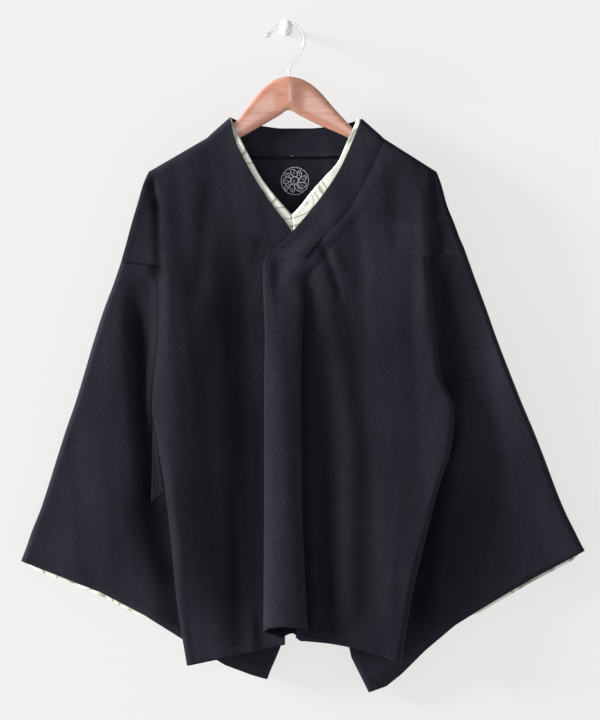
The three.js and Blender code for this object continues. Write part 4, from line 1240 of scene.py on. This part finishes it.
# ---- collar ----
BAND_PUFF = {"left_collar_band": 0.15, "right_collar_band": 0.8}  # how far a doubled band stands proud
BAND_END = {"left_collar_band": 1.2, "right_collar_band": None}  # how far its end sinks; None is on the pleat
EDGE_LOWER = 0.75  # share by which the overlapping band stands less high along its left edge
BAND_SETTLE_TOP = -281.0  # the height from which the overlapping band's edge comes down on the left front
BAND_UNDER = 1.2  # how far its end sinks into the pleat
BAND_SEAM = {"left_collar_band": 0.2, "right_collar_band": 0.7}  # share of the seam's dip


def surface_under(names, x, z, top):
    """Depth of the outermost of some pieces of cloth at the points (x, z) below the height top."""
    points = np.concatenate([GRIDS[name].reshape(-1, 3) for name in names])
    points = points[np.isfinite(points[:, 0])]
    near = abs(points[:, 0] - x.mean()) < np.ptp(x)
    near &= (points[:, 2] < top + 20) & (points[:, 2] > z.min() - 20)
    points = points[near]
    out = np.full(x.shape, np.nan)
    for index in np.ndindex(x.shape):
        if z[index] > top:
            continue
        away = np.hypot(points[:, 0] - x[index], points[:, 2] - z[index])
        close = away < 1.3 * CELL
        if close.any():
            outer = points[close, 1] < points[close, 1].min() + 2.2
            weight = 1 / (0.5 + away[close][outer] ** 2)
            out[index] = (points[close, 1][outer] * weight).sum() / weight.sum()
    return out


def right_band_y(x, z):
    stand = np.where(z > LAP_TOP, overlap_lift(z), look_up(PLEAT_LINES, "z", "stand", z))
    lift = stand + BAND_CLIMB * below(z, -285, 15)
    from_seam = np.interp(-z, -RIGHT_ROWS["in_z"], RIGHT_ROWS["in_x"]) - x
    return front_y(x, z, FAR_IN, HALF_EDGE, lift * (1 - EDGE_LOWER * smooth((from_seam - 6) / 30)))


def band(name, rows, panel_rows, depth):
    last = len(rows["neck_x"]) - 1
    v = row_steps(panel_rows, ("in_x", "in_z"), 0, last)[:, None]
    u = spread(36, 2.6)[None, :]
    seam_x, seam_z, _ = row_point(panel_rows, v, 0)
    neck_x, neck_z = column_at(rows, "neck_x", v), column_at(rows, "neck_z", v)
    gap = SEAM_GAP * (FAINT if panel_rows is LEFT_ROWS else 1)
    x = mix(seam_x + np.sign(neck_x - seam_x) * gap, neck_x, u)
    z = mix(seam_z, neck_z, u)
    width = np.hypot(neck_x - seam_x, neck_z - seam_z)
    puff = BAND_PUFF[name] * np.sin(math.pi * np.clip(u, 0, 1)) ** 0.6
    y = depth(x, z) + (BAND_SEAM[name] * seam_dip(u * width, z) - puff) * turn(below_ridge(x, z))
    ending = smooth((v - last + 1.3) / 1.3) * np.ones_like(u)
    if BAND_END[name] is None:
        carrier = surface_under(("left_front", "right_front"), x, z, BAND_SETTLE_TOP)
        settled = smooth((u - 0.3) / 0.7) * below(z, BAND_SETTLE_TOP, 26)
        settled = np.maximum(settled, below(z, LAP_TOP, 22)) * np.isfinite(carrier)
        ending = below(z, LAP_TOP - 4, 20) * np.isfinite(carrier)
        y = mix(y, np.nan_to_num(carrier) - CLOTH + (CLOTH + BAND_UNDER) * ending, settled)
    else:
        y = y + BAND_END[name] * ending
    thin = 1 - 0.75 * ending
    # Painted shade, from the front's table.
    fade = np.exp(folds_at(FRONT_PAINTED_SHADE, x, z))
    return cloth(name, stacked(x, y, z), CREPE, CLOTH * thin, extra=0.5 * thin, fade=fade)


def neck_trim(name, rows, depth):
    v = row_steps(rows, ("out_x", "out_z"), 0, None, False)[:, None]
    u = np.linspace(0, 1, 6)[None, :]
    x = mix(column_at(rows, "out_x", v), column_at(rows, "in_x", v), u)
    z = mix(column_at(rows, "out_z", v), column_at(rows, "in_z", v), u)
    y = depth(x, z) + TRIM_BEHIND + 0.25 * np.sin(z / 11) * u
    return cloth(name, stacked(x, y, z), IVORY, TRIM_CLOTH)


COLLAR_LAP = 1.9  # how far the back collar's lower fold laps over the back's top edge


def back_collar():
    k = np.linspace(0, len(COLLAR_BACK["low_x"]) - 1, 90)[None, :]
    u = spread(38, 2.6)[:, None]
    low_x, low_z = column_at(COLLAR_BACK, "low_x", k), column_at(COLLAR_BACK, "low_z", k)
    top_x, top_z = column_at(COLLAR_BACK, "top_x", k), column_at(COLLAR_BACK, "top_z", k)
    low_y = back_y(low_x, low_z)
    y = mix(low_y, column_at(COLLAR_BACK, "top_y", k), u)
    lap = COLLAR_LAP * (1 - smooth(u / 0.12))
    y = y - lap * 0.9
    x, z = mix(low_x, top_x, u), mix(low_z, top_z, u) - lap
    inside = smooth(k / 1.5) * smooth((len(COLLAR_BACK["low_x"]) - 1 - k) / 1.5)
    y = y - (seam_dip(u * 38, x) * 0.6 - 0.35 * drape(x, z, 3.1)) * inside
    return cloth("back_collar", stacked(x, y, z), CREPE, CLOTH, extra=np.full(y.shape, 0.3))


FLAP_PAINTED_SHADE = 0.4  # painted shade: the flap's share of the usual brightness, as dark as the shade beside the body
FLAP_EDGE = table("x z", [(-183.2, -646), (-183, -632), (-182, -600), (-181.6, -560), (-180.5, -534)])


def underarm_flap():
    """The free edge of cloth that shows beside the left side seam, below the armhole."""
    v = np.linspace(0, 1, 34)[:, None]
    u = np.linspace(0, 1, 7)[None, :]
    z = mix(FLAP_EDGE["z"][-1], FLAP_EDGE["z"][0], v)
    body_row = np.interp(-z, -LEFT_ROWS["out_z"], np.arange(len(LEFT_ROWS["out_z"])))
    edge_x = column_at(LEFT_ROWS, "out_x", body_row) - 0.9
    free_x = np.interp(z, FLAP_EDGE["z"], FLAP_EDGE["x"])
    free_x = np.minimum(free_x, edge_x - 1.2)
    x = mix(edge_x, free_x, u)
    rise = 15 * (1 - u) * smooth((v - 0.8) / 0.2)
    y = MID_Y + 0.4 + 5.5 * np.sin(u * math.pi / 2) * smooth(v / 0.3) + 0.5 * np.sin(z / 13) * u
    # The flap is painted dark as shade.
    return cloth("underarm_flap", stacked(x, y, z + rise), CREPE, fade=np.full(x.shape, FLAP_PAINTED_SHADE))


# ---- stitching and the print at the back neck ----
STITCH_LONG = 2.6  # the length of a stitch
STITCH_GAP = 1.1  # and of the gap after it
STITCH_THICK = 0.22  # half as thick as a thread
STITCH_SIDES = 6
STITCH_RINGS = [(0, 0.25), (0.18, 1), (0.82, 1), (1, 0.25)]  # share of a stitch's length and of its thickness
STITCH_SUNK = 0.12  # how far its ends sink into the cloth


def line_above_edge(name, distance, first=0, last=None):
    """The line that lies a distance up from the last row of a piece of cloth."""
    grid = GRIDS[name][:, first:last][::-1]
    reach = reach_along(grid)
    line = [[np.interp(distance, reach[:, k], grid[:, k, c]) for c in range(3)] for k in range(grid.shape[1])]
    return np.array(line)


def tube_faces(rings, sides, first=0):
    """The faces of a tube through rings of points, whose ends come last and are closed by one face each."""
    faces = []
    for ring in range(first, first + (rings - 1) * sides, sides):
        for k in range(sides):
            n = (k + 1) % sides
            faces.append((ring + k, ring + n, ring + sides + n, ring + sides + k))
    last = first + (rings - 1) * sides
    faces.append([first + k for k in reversed(range(sides))])
    faces.append([last + k for k in range(sides)])
    return faces


def stitches(name, lines, material, side=-1, away=CLOTH / 2):
    """Rows of short threads along lines on the cloth, on the viewer's side (-1) or the wall's (1)."""
    dice = random.Random(name)
    points, faces = [], []
    for line in lines:
        reach = reach_along(line)
        start = 0.8
        while start + STITCH_LONG < reach[-1]:
            long = STITCH_LONG * dice.uniform(0.92, 1.05)
            ends = [np.array([np.interp(start + d, reach, line[:, c]) for c in range(3)]) for d in (0, long)]
            along = (ends[1] - ends[0]) / max(np.linalg.norm(ends[1] - ends[0]), 1e-6)
            across = np.cross(along, (0, 1, 0))
            across /= max(np.linalg.norm(across), 1e-6)
            number = len(points)
            for share, thick in STITCH_RINGS:
                sunk = STITCH_SUNK if share in (0, 1) else 0
                centre = mix(ends[0], ends[1], share) + np.array([0, side * (away - sunk), 0])
                for angle in round_angles(STITCH_SIDES):
                    offset = across * math.cos(angle) + np.array([0, 1, 0]) * math.sin(angle)
                    points.append(centre + offset * STITCH_THICK * thick)
            faces += tube_faces(len(STITCH_RINGS), STITCH_SIDES, number)
            start += long + STITCH_GAP * dice.uniform(0.85, 1.2)
    return object_from(name, points, faces, material)


def all_stitching():
    """The rows of stitches above the hems and cuffs and below the back neck seam."""
    hem, cuff = HEM_TURN - 1.5, HEM_TURN - 3
    front_hem = [line_above_edge("left_front", hem, 8, -2), line_above_edge("right_front", hem, 4, -4)]
    back_hem = [line_above_edge("back_panel", hem, 3, -3)]
    front_cuffs = [line_above_edge(f"{side}_sleeve_front", cuff, 3, -3) for side in ("left", "right")]
    back_cuffs = [line_above_edge(f"{side}_sleeve_back", cuff, 3, -3) for side in ("left", "right")]
    x = np.linspace(-64, 90, 60)
    z = np.interp(x, COLLAR_BACK["low_x"], COLLAR_BACK["low_z"]) - 3.2
    neck = [stacked(x, back_y(x, z), z)]
    rows = [
        stitches("front_hem_stitching", front_hem, NAVY_THREAD),
        stitches("back_hem_stitching", back_hem, NAVY_THREAD, side=1),
        stitches("cuff_front_stitching", front_cuffs, NAVY_THREAD),
        stitches("cuff_back_stitching", back_cuffs, NAVY_THREAD, side=1),
        stitches("neck_seam_stitching", neck, NAVY_THREAD, away=CLOTH / 2 + 0.2),
    ]


ROSETTE = {"x": 12.0, "z": -208.5, "radius": 18.6, "line": 0.38}


def ribbon(points, faces, path, half, closed):
    """Adds a flat printed line along a path of (x, z) points on the inside of the back."""
    path = np.asarray(path, float)
    if closed:
        ahead, behind = np.roll(path, -1, 0), np.roll(path, 1, 0)
    else:
        ahead, behind = np.vstack([path[1:], path[-1:]]), np.vstack([path[:1], path[:-1]])
    along = ahead - behind
    along /= np.maximum(np.linalg.norm(along, axis=1, keepdims=True), 1e-9)
    across = np.stack([-along[:, 1], along[:, 0]], 1) * half
    start = len(points)
    for step in (-across, across):
        for x, z in path + step:
            points.append((x, float(back_y(x, z)) - CLOTH / 2 - 0.12, z))
    count = len(path)
    for k in range(count if closed else count - 1):
        n = (k + 1) % count
        faces.append((start + k, start + n, start + count + n, start + count + k))


def rosette():
    """A plain leaf wreath printed in white line inside the back neck."""
    points, faces = [], []
    radius, line = ROSETTE["radius"], ROSETTE["line"]

    def placed(reach, angle, aside=0.0):
        """The point (x, z) out from the middle at an angle, and aside from there."""
        c, s = math.cos(angle), math.sin(angle)
        return ROSETTE["x"] + reach * c - aside * s, ROSETTE["z"] + reach * s + aside * c

    def circle(share, waves, height):
        return [placed(radius * share * (1 + height * math.sin(waves * a)), a) for a in round_angles(90)]

    def leaning(share):
        """The angle of the petal's middle at a share of the radius."""
        return lean + 0.6 * (share - inner)

    ribbon(points, faces, circle(1.0, 18, 0.02), 0.8 * line, True)
    ribbon(points, faces, circle(0.3, 5, 0.08), 0.9 * line, True)
    dice = random.Random("rosette")
    petals = 9
    for petal in range(petals):
        lean = 2 * math.pi * petal / petals + dice.uniform(-0.12, 0.12)
        inner, outer = 0.28, dice.uniform(0.82, 0.97)
        wide = dice.uniform(0.15, 0.24)
        outline = []
        for t in round_angles(30):
            share = mix(inner, outer, 0.5 - 0.5 * math.cos(t))
            outline.append(placed(radius * share, leaning(share), radius * wide * math.sin(t)))
        ribbon(points, faces, outline, dice.uniform(0.7, 1.1) * line, True)
        along = np.linspace(0.5, dice.uniform(0.68, 0.84), 8)
        vein = [placed(radius * share, leaning(share)) for share in along]
        ribbon(points, faces, vein, 0.8 * line, False)
    spiral = [placed(radius * 0.25 * t, 7 * t) for t in np.linspace(0.1, 1, 30)]
    ribbon(points, faces, spiral, 0.9 * line, False)
    piece = object_from("neck_rosette", points, faces, WHITE_THREAD)


def neck_tack():
    """The little white thread bar in the middle of the back neck seam."""
    x, z = [6.2, 7.6, 9.0, 10.4, 11.9], [-173.9, -174.4, -174.6, -174.3, -174.3]
    bar = stacked(x, np.full(len(x), back_y(8.0, -174.5)), z)
    piece = stitches("neck_tack", [bar], WHITE_THREAD, away=CLOTH / 2 + 2.4)


# ---- hanger, hook and peg ----
def swept(name, rings, material):
    """A closed mesh through rings of equal count, each end closed by one flat face."""
    points = [p for ring in rings for p in ring]
    piece = object_from(name, points, tube_faces(len(rings), len(rings[0])), material)
    for polygon in list(piece.data.polygons)[-2:]:
        polygon.use_smooth = False
    return piece


HANGER_BULGE = 2.0  # how far the middle of the hanger's front stands out


def hanger():
    """The wooden arms, through sections that lie evenly apart along x."""
    rows = np.linspace(0, len(HANGER["x"]) - 1, 2000)
    places = column_at(HANGER, "x", rows)
    stations = np.interp(np.linspace(places[0], places[-1], 190), places, rows)
    rings = []
    for k in stations:
        x, top, bottom, half = (float(column_at(HANGER, key, k)) for key in ("x", "top", "bottom", "half"))
        ring = []
        for angle in round_angles(32):
            c, s = math.cos(angle), math.sin(angle)
            round_y = math.copysign(abs(c) ** 0.5, c)
            round_z = math.copysign(abs(s) ** 0.5, s)
            bulge = HANGER_BULGE * bell(x - 5, 13) * max(0, -round_y)
            z = (top + bottom) / 2 + (top - bottom) / 2 * round_z
            ring.append((x, MID_Y + half * round_y - bulge, z))
        rings.append(ring)
    piece = swept("hanger_arms", rings, WOOD)
    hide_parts("hanger_wood")


STEM_IN_WOOD = 7.0  # how far the wire goes on into the wood
TIP_SWELL = 1.5  # how much thicker the wire is near its rounded tip
TIP_AT = 3.6  # how far from its end
TIP_LONG = 3.4  # and over what length


def hook():
    """The wire, round from the hanger's middle to its thick tip."""
    route = np.stack([HOOK_ROUTE["x"], np.full(len(HOOK_ROUTE["x"]), MID_Y), HOOK_ROUTE["z"]], 1)
    route = refined(np.vstack([route[0] - (0, 0, STEM_IN_WOOD), route])[None], 1.0)[0]
    rings = []
    reach = reach_along(route)
    for k, point in enumerate(route):
        along = route[min(k + 1, len(route) - 1)] - route[max(k - 1, 0)]
        along /= np.linalg.norm(along)
        aside = np.cross(along, (0, 1, 0))
        left = reach[-1] - reach[k]
        thick = HOOK_RADIUS + TIP_SWELL * bell(left - TIP_AT, TIP_LONG)
        radius = thick * math.sqrt(1 - (1 - min(1, (left + 0.15) / thick)) ** 2)
        outward = [math.cos(a) * aside + math.sin(a) * np.array([0, 1, 0]) for a in round_angles(18)]
        rings.append([point + radius * away for away in outward])
    piece = swept("hook_wire", rings, CHROME)
    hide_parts("hanger_hook")


def peg():
    """The round plate on the wall, the shaft and the knob in front."""
    plate = np.stack([*PEG_PLATE.values()], 1)
    knob = refined(np.stack([*PEG_KNOB.values()], 1)[None], 0.8)[0]
    angles = round_angles(56)
    rings = [[(r * math.cos(a), y, r * math.sin(a)) for a in angles] for r, y in np.vstack([plate, knob])]
    piece = swept("wall_knob", rings, WHITE_PAINT)
    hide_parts("wall_peg")


# ---- everything ----
# The flat cut of what shows of each piece of cloth: width and length in metres, area in square metres, and
# what it hangs on.
CUTS = {
    "left_front": (0.203, 0.727, 0.1149, "hanger_arms"),
    "right_front": (0.340, 0.735, 0.1835, "hanger_arms"),
    "back_panel": (0.482, 0.726, 0.2577, "hanger_arms"),
    "left_sleeve_front": (0.382, 0.633, 0.0922, "left_front"),
    "left_sleeve_back": (0.381, 0.631, 0.0896, "back_panel"),
    "left_sleeve_facing": (0.196, 0.0262, 0.0050, "left_sleeve_back"),
    "right_sleeve_front": (0.362, 0.649, 0.0860, "right_front"),
    "right_sleeve_back": (0.361, 0.648, 0.0836, "back_panel"),
    "right_sleeve_facing": (0.179, 0.0260, 0.0046, "right_sleeve_back"),
    "left_collar_band": (0.045, 0.205, 0.0076, "left_front"),
    "right_collar_band": (0.044, 0.248, 0.0093, "right_front"),
    "back_collar": (0.260, 0.046, 0.0093, "back_panel"),
    "left_neck_trim": (0.025, 0.184, 0.0019, "left_collar_band"),
    "right_neck_trim": (0.025, 0.185, 0.0023, "right_collar_band"),
    "underarm_flap": (0.026, 0.113, 0.0012, "left_front"),
}


def cloth_pieces():
    """Each piece of cloth with the solid that it stands for and its slot."""
    yield front_left(), "front_left", "crepe"
    yield front_right(), "front_right", "crepe"
    yield back(), "back", "crepe"
    for side, rows, cuff in (("left", SLEEVE_LEFT, CUFF_LEFT), ("right", SLEEVE_RIGHT, CUFF_RIGHT)):
        for layer in ("front", "back"):
            yield sleeve_layer(f"{side}_sleeve_{layer}", rows, cuff, layer), f"sleeve_{side}_{layer}", "crepe"
        yield sleeve_facing(f"{side}_sleeve_facing", rows, cuff), f"sleeve_facing_{side}", "ivory_lining"
    yield band("left_collar_band", BAND_LEFT, LEFT_ROWS, front_y), "collar_band_left", "crepe"
    yield band("right_collar_band", BAND_RIGHT, RIGHT_ROWS, right_band_y), "collar_band_right", "crepe"
    yield back_collar(), "collar_band_back", "crepe"
    yield neck_trim("left_neck_trim", TRIM_LEFT, front_y), "neck_trim_left", "ivory_lining"
    yield neck_trim("right_neck_trim", TRIM_RIGHT, right_band_y), "neck_trim_right", "ivory_lining"
    yield underarm_flap(), None, "crepe"


camera()
backdrop()
lights()
hanger()
hook()
peg()
for piece, node, slot in cloth_pieces():
    if node:
        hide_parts(node)
    width, length, area, carrier = CUTS[piece.name]
all_stitching()
rosette()
neck_tack()
